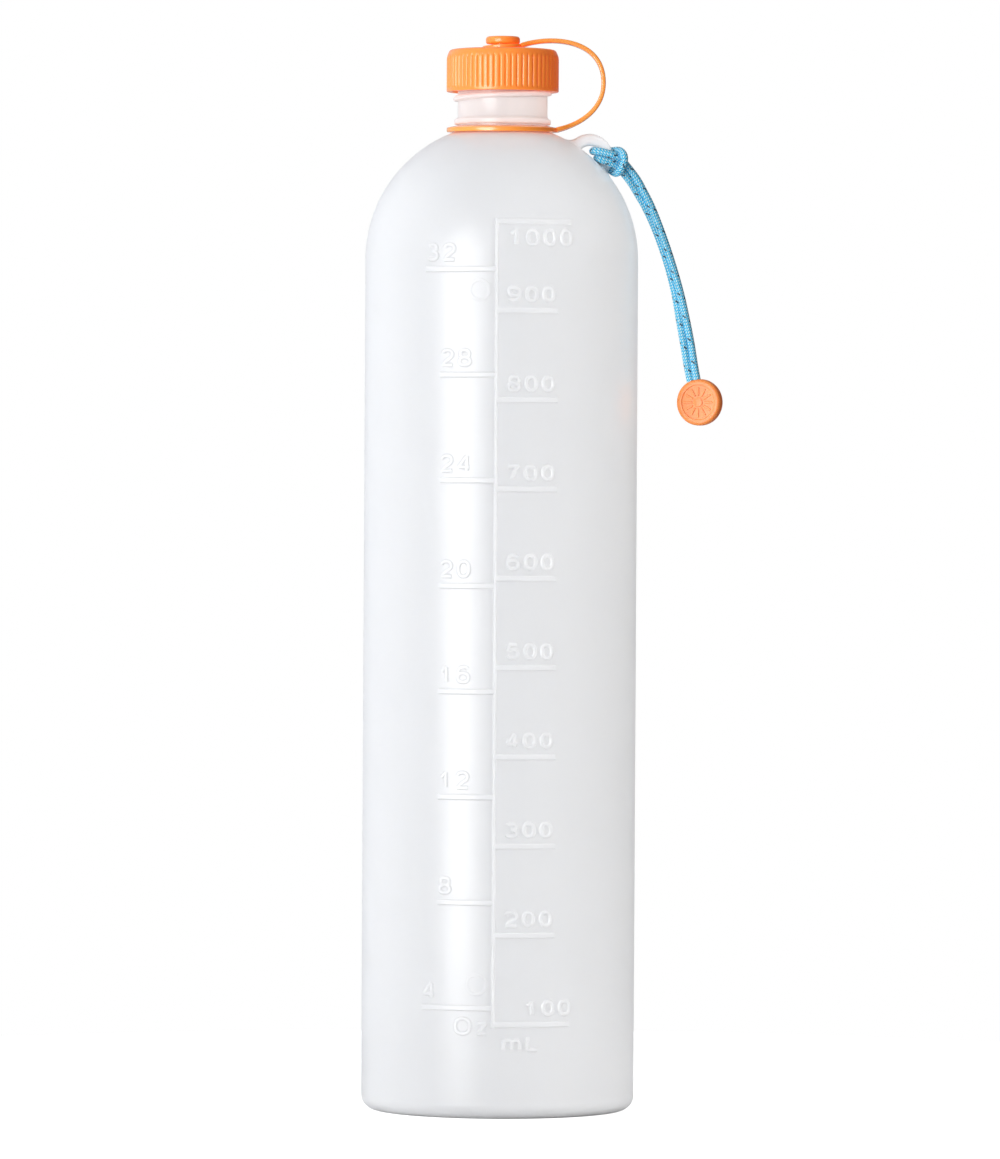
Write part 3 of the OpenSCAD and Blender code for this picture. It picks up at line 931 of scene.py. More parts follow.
def thread_tree():
    """A screw thread: a flattened bead swept along a helix and faded out at both of its ends."""
    tree, sockets = geometry_tree(
        "thread",
        {
            "Turns": "Float", "Pitch": "Float", "Radius": "Float", "Depth": "Float",
            "Width": "Float", "Fade": "Float", "Material": "Material",
        },
    )
    height = add_node(
        tree, "ShaderNodeMath", {"operation": "MULTIPLY"}, {0: sockets["Turns"], 1: sockets["Pitch"]}
    ).outputs[0]
    helix = add_node(
        tree,
        "GeometryNodeCurveSpiral",
        inputs={
            "Resolution": 96, "Rotations": sockets["Turns"], "Start Radius": sockets["Radius"],
            "End Radius": sockets["Radius"], "Height": height, "Reverse": True,
        },
    ).outputs[0]
    factor = add_node(tree, "GeometryNodeSplineParameter").outputs["Factor"]
    away = factor
    for operation, value in (("SUBTRACT", 0.5), ("ABSOLUTE", 0.0), ("SUBTRACT", 0.5), ("MULTIPLY", -1.0)):
        away = add_node(tree, "ShaderNodeMath", {"operation": operation}, {0: away, 1: value}).outputs[0]
    full = add_node(
        tree,
        "ShaderNodeMapRange",
        {"interpolation_type": "SMOOTHSTEP"},
        {"Value": away, "From Max": sockets["Fade"], "To Min": 0.08},
    ).outputs[0]
    bar = add_node(
        tree,
        "GeometryNodeCurvePrimitiveQuadrilateral",
        inputs={"Width": sockets["Depth"], "Height": sockets["Width"]},
    ).outputs[0]
    round_r = add_node(
        tree, "ShaderNodeMath", {"operation": "MULTIPLY"}, {0: sockets["Depth"], 1: 0.3}
    ).outputs[0]
    soft = add_node(
        tree,
        "GeometryNodeFilletCurve",
        {"mode": "POLY"},
        {"Curve": bar, "Count": 3, "Radius": round_r, "Limit Radius": True},
    ).outputs[0]
    swept = add_node(
        tree,
        "GeometryNodeCurveToMesh",
        inputs={"Curve": helix, "Profile Curve": soft, "Scale": full, "Fill Caps": True},
    ).outputs[0]
    close_tree(tree, swept, sockets["Material"])
    return tree


# Heights in millimetres at which the threads begin.
NECK_THREAD_AT, CAP_THREAD_AT = 277.6, 280.8


def screw_thread(name, height, sizes, material):
    """A right-handed thread. It begins at that height in millimetres, behind the left side."""
    made = grow(name, thread_tree(), {**sizes, "Material": material})
    begin = Matrix.Rotation(math.radians(150), 4, "Z")
    made.data.transform(Matrix.Translation((0, 0, height * MM)) @ begin)
    face_outwards(made)
    return made


def relief_tree():
    """Raised lines of a mould's engraving, drawn flat: a low ridge with sloping sides along each path."""
    tree, sockets = geometry_tree(
        "raised_lines",
        {
            "Count": "Int", "Step": "Vector", "Height": "Float", "Depth": "Float",
            "Slope": "Float", "Material": "Material",
        },
    )
    path = add_node(tree, "GeometryNodeMeshToCurve", inputs={"Mesh": sockets["Geometry"]}).outputs[0]
    # The ridge goes as deep into the wall as it stands out of it, and its sides slope all the way.
    run = add_node(
        tree, "ShaderNodeMath", {"operation": "MULTIPLY"}, {0: sockets["Slope"], 1: 4.0}
    ).outputs[0]
    foot = add_node(tree, "ShaderNodeMath", {"operation": "ADD"}, {0: sockets["Height"], 1: run}).outputs[0]
    deep = add_node(
        tree, "ShaderNodeMath", {"operation": "MULTIPLY"}, {0: sockets["Depth"], 1: 2.0}
    ).outputs[0]
    ridge = add_node(
        tree,
        "GeometryNodeCurvePrimitiveQuadrilateral",
        {"mode": "TRAPEZOID"},
        {"Height": deep, "Bottom Width": sockets["Height"], "Top Width": foot, "Offset": 0.0},
    ).outputs[0]
    up = add_node(tree, "GeometryNodeSetCurveNormal", {"mode": "Z_UP"}, {"Curve": path}).outputs[0]
    swept = add_node(
        tree,
        "GeometryNodeCurveToMesh",
        inputs={"Curve": up, "Profile Curve": ridge, "Fill Caps": True},
    ).outputs[0]
    points = add_node(
        tree, "GeometryNodeMeshLine", inputs={"Count": sockets["Count"], "Offset": sockets["Step"]}
    ).outputs[0]
    lines = add_node(tree, "GeometryNodeInstanceOnPoints", inputs={"Points": points, "Instance": swept})
    close_tree(tree, lines.outputs[0], sockets["Material"])
    return tree


def oval(cx, cy, rx, ry, start, end, steps=14, square=2.3):
    """Part of a slightly squared oval, as wide figures have it."""
    made = []
    for point in arc((0, 0), 1, start, end, steps):
        x, y = (math.copysign(abs(v) ** (2 / square), v) for v in point)
        made.append((cx + rx * x, cy + ry * y))
    return made


# Strokes of the figures, as middle lines in a box that is 1 wide and 1 high. A stroke that ends
# where it began is closed.
STROKES = {
    "0": [oval(0.5, 0.5, 0.5, 0.5, 0, 360, 28)],
    "1": [[(0.56, 1), (0.56, 0)], [(0.12, 0.7), (0.56, 0.97)]],
    "2": [oval(0.5, 0.72, 0.48, 0.28, 172, -35, 14) + [(0.3, 0.22), (0.03, 0)], [(0, 0), (1, 0)]],
    "3": [oval(0.47, 0.76, 0.43, 0.24, 155, -90, 14), oval(0.47, 0.26, 0.5, 0.26, 90, -158, 14)],
    "4": [[(0.74, 1), (0, 0.27)], [(0, 0.27), (1, 0.27)], [(0.74, 1), (0.74, 0)]],
    "5": [[(0.16, 1), (0.92, 1)], [(0.17, 1), (0.08, 0.5)], oval(0.46, 0.33, 0.52, 0.33, 135, -155, 16)],
    "6": [oval(0.5, 0.3, 0.5, 0.3, 0, 360, 28), oval(0.56, 0.5, 0.56, 0.5, 45, 180, 12)],
    "7": [[(0, 1), (1, 1)], [(0.97, 1), (0.6, 0.5), (0.36, 0)]],
    "8": [oval(0.5, 0.76, 0.42, 0.24, 0, 360, 28), oval(0.5, 0.26, 0.5, 0.26, 0, 360, 28)],
    "9": [oval(0.5, 0.7, 0.5, 0.3, 0, 360, 28), oval(0.44, 0.5, 0.56, 0.5, -135, 0, 12)],
    "O": [oval(0.5, 0.5, 0.5, 0.5, 0, 360, 28)],
    "z": [[(0, 0.7), (1, 0.7)], [(1, 0.7), (0, 0)], [(0, 0), (1, 0)]],
    "m": [
        [(0, 0.72), (0, 0)],
        oval(0.25, 0.45, 0.25, 0.27, 180, 0, 10) + [(0.5, 0)],
        oval(0.75, 0.45, 0.25, 0.27, 180, 0, 10) + [(1, 0)],
    ],
    "L": [[(0, 1), (0, 0)], [(0, 0), (1, 0)]],
}


def figures(text, left, bottom, width, height, stroke, gap=0.75, widths=None):
    """Middle lines of a row of figures in millimetres. Each figure is that wide and high outside."""
    lines = []
    low, tall = bottom + stroke / 2, height - stroke
    for i, letter in enumerate(text):
        wide = widths[i] if widths else width
        begin, broad = left + stroke / 2, wide - stroke
        lines += [[(begin + x * broad, low + y * tall) for x, y in path] for path in STROKES[letter]]
        left += wide + gap
    return lines


def stroke_mesh(lines):
    """The lines as edges of one mesh. A line that ends where it began is closed."""
    points, edges = [], []
    for line in lines:
        closed = math.dist(line[0], line[-1]) < 1e-6
        kept = line[:-1] if closed else line
        first = len(points)
        points += [(x * MM, y * MM, 0) for x, y in kept]
        edges += [(first + i, first + i + 1) for i in range(len(kept) - 1)]
        if closed:
            edges.append((len(points) - 1, first))
    mesh = bpy.data.meshes.new("strokes")
    mesh.from_pydata(points, edges, [])
    return mesh


def points_of(mesh):
    """The mesh's points in metres, one in each row."""
    co = np.empty(len(mesh.vertices) * 3)
    mesh.vertices.foreach_get("co", co)
    return co.reshape(-1, 3)


def set_points(mesh, co):
    """Moves the mesh's points."""
    mesh.vertices.foreach_set("co", np.asarray(co, np.float32).ravel())
    mesh.update()


def cut_to_bend(thing, spacing, side):
    """Cuts a flat drawing along upright lines, and level ones above the straight side, so that it bends."""

    def change(held):
        xs, ys = [v.co.x for v in held.verts], [v.co.y for v in held.verts]
        first, last = math.floor(min(xs) / spacing) + 1, math.ceil(max(xs) / spacing)
        cuts = [(Vector((1, 0, 0)), k * spacing) for k in range(first, last)]
        cuts += [(Vector((0, 1, 0)), level) for level in np.arange(side, max(ys), spacing)]
        for normal, place in cuts:
            everything = held.verts[:] + held.edges[:] + held.faces[:]
            bmesh.ops.bisect_plane(
                held, geom=everything, plane_co=normal * place, plane_no=normal, dist=1e-7
            )

    edit(thing, change)


def wrap(thing, bottle, scale):
    """Bends a flat drawing round the wall. Its x runs round from the spine, y up the wall and z outwards."""
    radius, side = bottle.body_r * MM, bottle.body_h * MM
    co = points_of(thing.data)
    turn = co[:, 0] / radius - math.pi / 2 - math.radians(scale.turn)
    lean = np.maximum(co[:, 1] - side, 0) / radius
    out = (radius + co[:, 2]) * np.cos(lean)
    up = np.minimum(co[:, 1], side) + (radius + co[:, 2]) * np.sin(lean)
    set_points(thing.data, np.column_stack([out * np.cos(turn), out * np.sin(turn), up]))


OUNCE = 29573.5  # cubic millimetres
LITRE = 1e6
SPINE_OVER = 0.02  # the spine stands this much over the bars, so that no two tops share a plane
# Millimetres: one figure's width, its foot over its bar's middle, and its place beside the spine.
OUNCE_WIDE, OUNCE_LIFT = 4.2, 1.95
ML_WIDE, ML_LIFT, ML_LEFT = 4.05, 2.1, 2.75


def bar_height(volume, bottle, scale):
    """Length up the wall of the bar for a volume in cubic millimetres, which the bottle's bore gives."""
    height = scale.zero + volume / (math.pi * (bottle.body_r - bottle.wall) ** 2)
    over = max(height - bottle.body_h, 0) / bottle.body_r
    return min(height, bottle.body_h) + bottle.body_r * math.asin(over)


def loose_parts(thing):
    """Splits an object into one object for each loose part."""
    held = bmesh.new()
    held.from_mesh(thing.data)
    held.verts.ensure_lookup_table()
    group = [-1] * len(held.verts)
    found = 0
    for start in held.verts:
        if group[start.index] >= 0:
            continue
        todo = [start]
        group[start.index] = found
        while todo:
            for edge in todo.pop().link_edges:
                for vert in edge.verts:
                    if group[vert.index] < 0:
                        group[vert.index] = found
                        todo.append(vert)
        found += 1
    co = points_of(thing.data) / MM
    faces = [[v.index for v in face.verts] for face in held.faces]
    held.free()
    made = []
    for k in range(found):
        index = {v: i for i, v in enumerate(j for j, g in enumerate(group) if g == k)}
        part_faces = [[index[v] for v in face] for face in faces if group[face[0]] == k]
        made.append(mesh_object("part", co[list(index)], part_faces))
        face_outwards(made[-1])
    bpy.data.objects.remove(thing)
    return made


def scale_relief(bottle, scale, material):
    """The whole scale, drawn flat and wrapped round the wall: bars, spine, figures and two round pads."""
    tree = relief_tree()
    around = math.radians(1) * bottle.body_r

    def lines(paths, height, copies=1, step=0.0, up=scale.up):
        return grow(
            "lines",
            tree,
            {
                "Count": copies,
                "Step": (0, step * MM, 0),
                "Height": (height - 2 * scale.slope) * MM,
                "Depth": up * MM,
                "Slope": scale.slope * MM,
                "Material": material,
            },
            stroke_mesh(paths),
        )

    parts, strokes = [], []
    ounces = [bar_height(4 * k * OUNCE, bottle, scale) for k in range(1, 9)]
    litres = [bar_height(k * LITRE / 10, bottle, scale) for k in range(1, 11)]
    for heights, sweep, side in ((ounces, scale.ounce_sweep, -1), (litres, scale.ml_sweep, 1)):
        short, long = side * sweep * around, side * (sweep + scale.end_sweep) * around
        step = heights[1] - heights[0]
        inner = [(0, heights[1]), (short, heights[1])]
        parts.append(lines([inner], scale.line, len(heights) - 2, step))
        parts.append(lines([[(0, heights[i]), (long, heights[i])] for i in (0, -1)], scale.line))
    low, high = litres[0] - scale.line / 2, litres[-1] + scale.line / 2
    spine = lines([[(0, low), (0, high)]], scale.spine, up=scale.up + SPINE_OVER)

    tall, bold = scale.ounce_tall, scale.stroke
    for k, height in enumerate(ounces):
        long = scale.end_sweep if k in (0, 7) else 0
        left = -(scale.ounce_sweep + long) * around
        strokes += figures(str(4 * (k + 1)), left, height + OUNCE_LIFT, OUNCE_WIDE, tall, bold)
    strokes += figures("Oz", -11, ounces[0] - 7.5, 0, tall, bold, widths=(5.4, 3.6))
    tall = scale.ml_tall
    for k, height in enumerate(litres[:-1]):
        # The lowest figures stand further out, over the end of their longer bar.
        left = ML_LEFT if k else 8.4
        strokes += figures(str(100 * (k + 1)), left, height + ML_LIFT, ML_WIDE, tall, bold)
    # The highest stand under their bar.
    strokes += figures("1000", 2.9, litres[-1] - 6.9, 4.15, tall + 0.4, bold)
    strokes += figures("mL", 2.3, litres[0] - 7.4, 0, tall, bold, gap=0.9, widths=(5.6, 3.9))
    parts += loose_parts(lines(strokes, bold))

    # Two bare round pads beside the spine, each left by an insert in the mould.
    for height in (224.6, 36.6):
        pad = [(0, -0.2), (3.1, -0.2)] + arc((2.95, 0.02), 0.15, 0, 90, 4)
        pad += arc((2.45, 0.02), 0.15, 90, 150, 3) + [(2.1, 0.06), (0, 0.06)]
        made = revolve("pad", pad, 64)
        made.data.transform(Matrix.Translation((-4.6 * MM, height * MM, 0)))
        parts.append(made)
    for part in parts:
        face_outwards(part)
    face_outwards(spine)
    unite(spine, parts)
    cut_to_bend(spine, 1.2 * MM, bottle.body_h * MM)
    wrap(spine, bottle, scale)
    face_outwards(spine)
    return spine


class BOTTLE_OT_bottle(bpy.types.Operator):
    """Makes the blow-moulded bottle with its neck, thread, eyelet and raised scale"""

    bl_idname = "bottle.shell"
    bl_label = "Bottle"

    def execute(self, context):
        scene = context.scene
        s, scale = plain(scene.bottle_sizes), plain(scene.scale_sizes)
        plastic = milky_polyethylene(scene.finishes)
        shell = revolve("milky_bottle", shell_profile(s), 256)
        thread = {
            "Turns": 2.9,
            "Pitch": s.thread_pitch * MM,
            "Radius": s.neck_r * MM,
            "Depth": 2 * s.thread_out * MM,
            "Width": 1.5 * MM,
            "Fade": 0.03,
        }
        thread = screw_thread("neck_thread", NECK_THREAD_AT, thread, plastic)
        unite(shell, [eyelet(s), thread, scale_relief(s, scale, plastic)])
        dress(shell, plastic, "bottle", "bottle", sharp=28)
        true_normals(shell.data, s, scale)
        bpy.data.collections[MILKY].objects.link(shell)
        return {"FINISHED"}


def true_normals(mesh, bottle, scale):
    """Shades the wall and the tops of the relief as the cylinder and sphere they are, and slopes flat."""
    radius, side = bottle.body_r, bottle.body_h
    co = points_of(mesh) / MM
    centre = np.column_stack([np.zeros((len(co), 2)), np.clip(co[:, 2], None, side)])
    spokes = co - centre
    reach = np.linalg.norm(spokes, axis=1)
    high = (co[:, 2] > bottle.corner - 0.01) & (np.hypot(co[:, 0], co[:, 1]) > bottle.neck_r + 1)
    level, near = np.zeros(len(co), int), 0.45 * SPINE_OVER
    for number, out in enumerate((0, scale.up, scale.up + SPINE_OVER), 1):
        level[high & (np.abs(reach - radius - out) < near)] = number
    on_scale = high & (reach > radius - 0.1) & (reach < radius + 0.5) & (co[:, 1] < -radius / 2)
    corners = np.empty(len(mesh.loops), int)
    mesh.loops.foreach_get("vertex_index", corners)
    totals = np.empty(len(mesh.polygons), int)
    mesh.polygons.foreach_get("loop_total", totals)
    starts = np.concatenate([[0], np.cumsum(totals)[:-1]])
    least = np.minimum.reduceat(level[corners], starts)
    most = np.maximum.reduceat(level[corners], starts)
    smooth = np.repeat((least == most) & (least > 0), totals)
    slopes = np.repeat(np.minimum.reduceat(on_scale[corners].astype(int), starts) > 0, totals) & ~smooth
    faces = np.empty((len(mesh.polygons), 3))
    mesh.polygons.foreach_get("normal", faces.ravel())
    normals = np.zeros((len(corners), 3))
    wanted = corners[smooth]
    normals[smooth] = spokes[wanted] / reach[wanted, None]
    normals[slopes] = np.repeat(faces, totals, axis=0)[slopes]
    mesh.normals_split_custom_set([tuple(n) for n in normals])


# ---------------------------------------------------------------- cap and tether


def rib_tree():
    """Cuts upright grooves in a round cap, evenly spaced, with ends that run out softly."""
    tree, sockets = geometry_tree(
        "cap_ribs",
        {
            "Count": "Float", "Depth": "Float", "Low": "Float", "High": "Float",
            "Run-out": "Float", "Inside": "Float", "Material": "Material",
        },
    )
    place = add_node(tree, "GeometryNodeInputPosition").outputs[0]
    axes = add_node(tree, "ShaderNodeSeparateXYZ", inputs={0: place}).outputs
    steps = {
        "x": axes["X"], "y": axes["Y"], "z": axes["Z"], "count": sockets["Count"],
        "depth": sockets["Depth"], "low": sockets["Low"], "high": sockets["High"],
        "run": sockets["Run-out"], "inside": sockets["Inside"],
    }
    for name, operation, *operands in (
        ("turn", "ARCTAN2", "y", "x"),
        ("phase", "MULTIPLY", "turn", "count"),
        ("half_phase", "MULTIPLY", "phase", 0.5),
        ("wave", "COSINE", "half_phase"),
        ("ridge", "ABSOLUTE", "wave"),
        # The power keeps the ribs broad and the grooves narrow, and makes both round.
        ("valley", "SUBTRACT", 1.0, "ridge"),
        ("groove", "POWER", "valley", 2.3),
        ("from_low", "SUBTRACT", "z", "low"),
        ("low_share", "DIVIDE", "from_low", "run"),
        ("from_high", "SUBTRACT", "high", "z"),
        ("high_share", "DIVIDE", "from_high", "run"),
        ("share", "MINIMUM", "low_share", "high_share"),
        ("not_below", "MAXIMUM", "share", 0.0),
        ("window", "MINIMUM", "not_below", 1.0),
        ("xx", "MULTIPLY", "x", "x"),
        ("yy", "MULTIPLY", "y", "y"),
        ("square", "ADD", "xx", "yy"),
        ("radius", "SQRT", "square"),
        ("outside", "GREATER_THAN", "radius", "inside"),
        ("shaped", "MULTIPLY", "groove", "window"),
        ("kept", "MULTIPLY", "shaped", "outside"),
        ("cut", "MULTIPLY", "kept", "depth"),
        ("left", "SUBTRACT", "radius", "cut"),
        ("scale", "DIVIDE", "left", "radius"),
        ("new_x", "MULTIPLY", "x", "scale"),
        ("new_y", "MULTIPLY", "y", "scale"),
    ):
        values = {i: steps.get(value, value) for i, value in enumerate(operands)}
        steps[name] = add_node(tree, "ShaderNodeMath", {"operation": operation}, values).outputs[0]
    moved = add_node(
        tree, "ShaderNodeCombineXYZ", inputs={"X": steps["new_x"], "Y": steps["new_y"], "Z": steps["z"]}
    ).outputs[0]
    ribbed = add_node(
        tree, "GeometryNodeSetPosition", inputs={"Geometry": sockets["Geometry"], "Position": moved}
    ).outputs[0]
    close_tree(tree, ribbed, sockets["Material"])
    return tree


def cap_profile(s):
    """The cap's wall and its stud as one profile, from the ceiling's middle out and up to the stud."""
    lip, inner = 0.25, 0.6
    profile = [(0, s.ceiling)]
    profile += [(r, s.ceiling) for r in np.linspace(1, s.bore_r - inner, 8)]
    profile += arc((s.bore_r - inner, s.ceiling - inner), inner, 90, 0, 4)
    profile += [(s.bore_r, z) for z in np.linspace(s.ceiling - inner, s.mouth + lip, 8)[1:-1]]
    profile += arc((s.bore_r + lip, s.mouth + lip), lip, 180, 270, 3)
    profile += arc((s.outer_r - lip, s.mouth + lip), lip, -90, 0, 3)
    low, high = s.mouth + s.band, s.top - s.brow
    profile += [(s.outer_r, z) for z in np.linspace(low - 0.2, low + 1.0, 6)]
    profile += [(s.outer_r, z) for z in np.linspace(low + 1.2, high - 1.2, 8)]
    profile += [(s.outer_r, z) for z in np.linspace(high - 1.0, high - 0.85, 2)]
    # The shoulder leans in first and then turns over a small edge into the slightly domed top.
    for inwards, down in (
        (0.02, 2.75), (0.06, 2.4), (0.14, 2.0), (0.27, 1.6), (0.43, 1.2), (0.6, 0.85),
        (0.74, 0.6), (0.93, 0.4), (1.2, 0.26), (1.6, 0.17), (2.2, 0.1), (3.2, 0.04),
    ):
        profile.append((s.outer_r - inwards, s.top - down))
    profile += [(r, s.top) for r in np.linspace(s.outer_r - 4.4, s.stem_r + 0.4, 7)]
    profile += arc((s.stem_r + 0.3, s.top + 0.3), 0.3, 270, 180, 3)
    profile += [(s.stem_r, s.stud_at - 0.05)]
    head = 0.85
    top = s.stud_top - 0.2
    profile += arc((s.stud_r - 0.6, s.stud_at + 0.6), 0.6, -90, 0, 5)
    profile += arc((s.stud_r - head, top - head), head, 0, 90, 8)
    profile += [(2.5, top - 0.05), (0, top - 0.1)]
    return profile


class BOTTLE_OT_cap(bpy.types.Operator):
    """Makes the screw cap with its grip ribs, inner thread and stud, and finishes the liner"""

    bl_idname = "bottle.cap"
    bl_label = "Screw cap"

    def execute(self, context):
        scene = context.scene
        s, bottle = plain(scene.cap_sizes), plain(scene.bottle_sizes)
        plastic = moulded_orange("satin_cap_polypropylene", tuple(scene.finishes.cap), 0.3, 0.3, 0.5)
        blank = revolve("cap_blank", cap_profile(s), s.ribs * 8)
        cap = grow(
            "ribbed_cap",
            rib_tree(),
            {
                "Count": float(s.ribs),
                "Depth": s.rib_depth * MM,
                "Low": (s.mouth + s.band) * MM,
                "High": (s.top - s.brow) * MM,
                "Run-out": 0.5 * MM,
                "Inside": (s.bore_r + 0.8) * MM,
                "Material": plastic,
            },
            blank.data,
        )
        bpy.data.objects.remove(blank)
        thread = {
            "Turns": 2.1,
            "Pitch": bottle.thread_pitch * MM,
            "Radius": (s.bore_r + 0.15) * MM,
            "Depth": 2.0 * MM,
            "Width": 1.1 * MM,
            "Fade": 0.04,
        }
        thread = screw_thread("cap_thread", CAP_THREAD_AT, thread, plastic)
        unite(cap, [thread])
        dress(cap, plastic, "cap", "screw_cap", sharp=35)
        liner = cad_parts["cap_liner"]
        liner.data.materials.clear()
        liner.data.materials.append(foamed_polyethylene(scene.finishes))
        return {"FINISHED"}


def rounded_ring(name, low, high, bore, outer, edge, droop=0.0):
    """A ring with rounded edges. It is flat, or its outer edge droops."""
    profile = arc((outer - edge, low + edge), edge, -90, 0, 5)
    profile += arc((outer - edge, high - edge), edge, 0, 90, 5)
    profile += arc((bore + edge, high - edge), edge, 90, 180, 5)
    profile += arc((bore + edge, low + edge), edge, 180, 270, 5)
    return revolve(name, [(r, z - droop * (r - bore) / (outer - bore)) for r, z in profile], 160)


def strap_line(tether, eye_r, eye_z, collar_r, collar_z):
    """The strap's middle line from the eye over its outermost point to the collar, as (x, z)."""
    middle = collar_z + 0.56 * (eye_z - collar_z)
    upper = [
        (eye_r - 0.6, eye_z), (eye_r + 6.4, eye_z + 2.6),
        (tether.reach, eye_z + 2.7), (tether.reach, middle),
    ]
    lower = [
        (tether.reach, middle), (tether.reach, collar_z + 5.8),
        (collar_r + 6.3, collar_z + 1.6), (collar_r - 0.5, collar_z),
    ]
    line = []
    for p in (np.array(upper), np.array(lower)):
        for t in np.linspace(0, 1, 33):
            line.append(
                (1 - t) ** 3 * p[0] + 3 * (1 - t) ** 2 * t * p[1] + 3 * (1 - t) * t**2 * p[2] + t**3 * p[3]
            )
    del line[33]
    return np.array(line)


class BOTTLE_OT_tether(bpy.types.Operator):
    """Makes the collar, the eye and the strap that joins them"""

    bl_idname = "bottle.tether"
    bl_label = "Tether"

    def execute(self, context):
        scene = context.scene
        s, cap, bottle = (
            plain(group) for group in (scene.tether_sizes, scene.cap_sizes, scene.bottle_sizes)
        )
        plastic = moulded_orange("flexible_polyethylene", tuple(scene.finishes.tether), 0.3, 0.2, 0.9)
        collar_r, eye_r = mm_of(COLLAR_HIGH.x), mm_of(EYE_HIGH.x)
        collar_low, collar_high = mm_of(COLLAR_LOW.z), mm_of(COLLAR_HIGH.z)
        eye_low, eye_high = mm_of(EYE_LOW.z), mm_of(EYE_HIGH.z)
        eye_middle, loose = (eye_low + eye_high) / 2, 0.08
        # The soft collar lies on the shoulder, so that its outer edge droops and its front most of all.
        collar = rounded_ring(
            "collar_ring", collar_low, collar_high, bottle.neck_r + loose, collar_r, s.edge, s.droop
        )
        rest = Vector((0, 0, collar_low * MM))
        lean = Matrix.Rotation(math.radians(s.lean), 4, "X")
        collar.data.transform(Matrix.Translation(rest) @ lean @ Matrix.Translation(-rest))
        dress(collar, plastic, "collar", "tether_collar")
        # The strap's spring holds the eye aslant under the stud's head, low on the side away from it.
        eye = rounded_ring("eye_ring", eye_low + 0.18, eye_high - 0.17, cap.stem_r + loose, eye_r, s.edge)
        rest = Vector((0, 0, eye_middle * MM))
        lean = Matrix.Rotation(math.radians(-s.eye_lean), 4, "Y")
        eye.data.transform(Matrix.Translation(rest) @ lean @ Matrix.Translation(-rest))
        dress(eye, plastic, "eye", "tether_eye")

        collar_middle = (collar_low + collar_high) / 2 - s.droop + 0.1
        line = strap_line(s, eye_r, eye_middle + 0.3, collar_r, collar_middle)
        run = np.concatenate([[0], np.cumsum(np.linalg.norm(np.diff(line, axis=0), axis=1))])
        sections = []
        for i, (x, z) in enumerate(line):
            way = unit(line[min(i + 1, len(line) - 1)] - line[max(i - 1, 0)])
            out = np.array([way[1], -way[0]])
            # Both ends widen into the rings that they are moulded on.
            eye_side = math.exp(-((run[i] / 2.2) ** 2)) * 2.2
            collar_side = math.exp(-(((run[-1] - run[i]) / 3.5) ** 2)) * 4.5
            half = (s.wide + eye_side + collar_side) / 2
            section = rounded_section(half, s.thick / 2, 0.38)
            sections.append([(x + out[0] * t, y, z + out[1] * t) for y, t in section])
        strap = loft("tether_band", sections)
        dress(strap, plastic, node="tether_strap")
        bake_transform(strap)
        return {"FINISHED"}


# ---------------------------------------------------------------- stage

# Metres from the bottle's axis and over the table, and degrees of roll.
CAMERA_AWAY, CAMERA_UP, CAMERA_ROLL = 2.1, 0.1732, 0.312
AIM_UP = 0.1458
FIELD_HEIGHT = 0.319
LAMP_AIM_UP = 0.3
TABLE_R = 300  # millimetres
# The collection of the pieces of milky plastic.
MILKY = "milky_pieces"


def soft_box(name, turn, away, height, sizes, power):
    """A rectangular lamp aimed at the bottle. It stands at an angle from the front, + towards +X."""
    lamp = bpy.data.lights.new(name, "AREA")
    lamp.shape = "RECTANGLE"
    lamp.size, lamp.size_y = sizes
    lamp.energy = power
    made = bpy.data.objects.new(name, lamp)
    bpy.context.scene.collection.objects.link(made)
    stand = Vector((away * math.sin(math.radians(turn)), -away * math.cos(math.radians(turn)), height))
    look = (Vector((0, 0, LAMP_AIM_UP)) - stand).to_track_quat("-Z", "Z").to_matrix().to_4x4()
    made.matrix_world = Matrix.Translation(stand) @ look
    return made


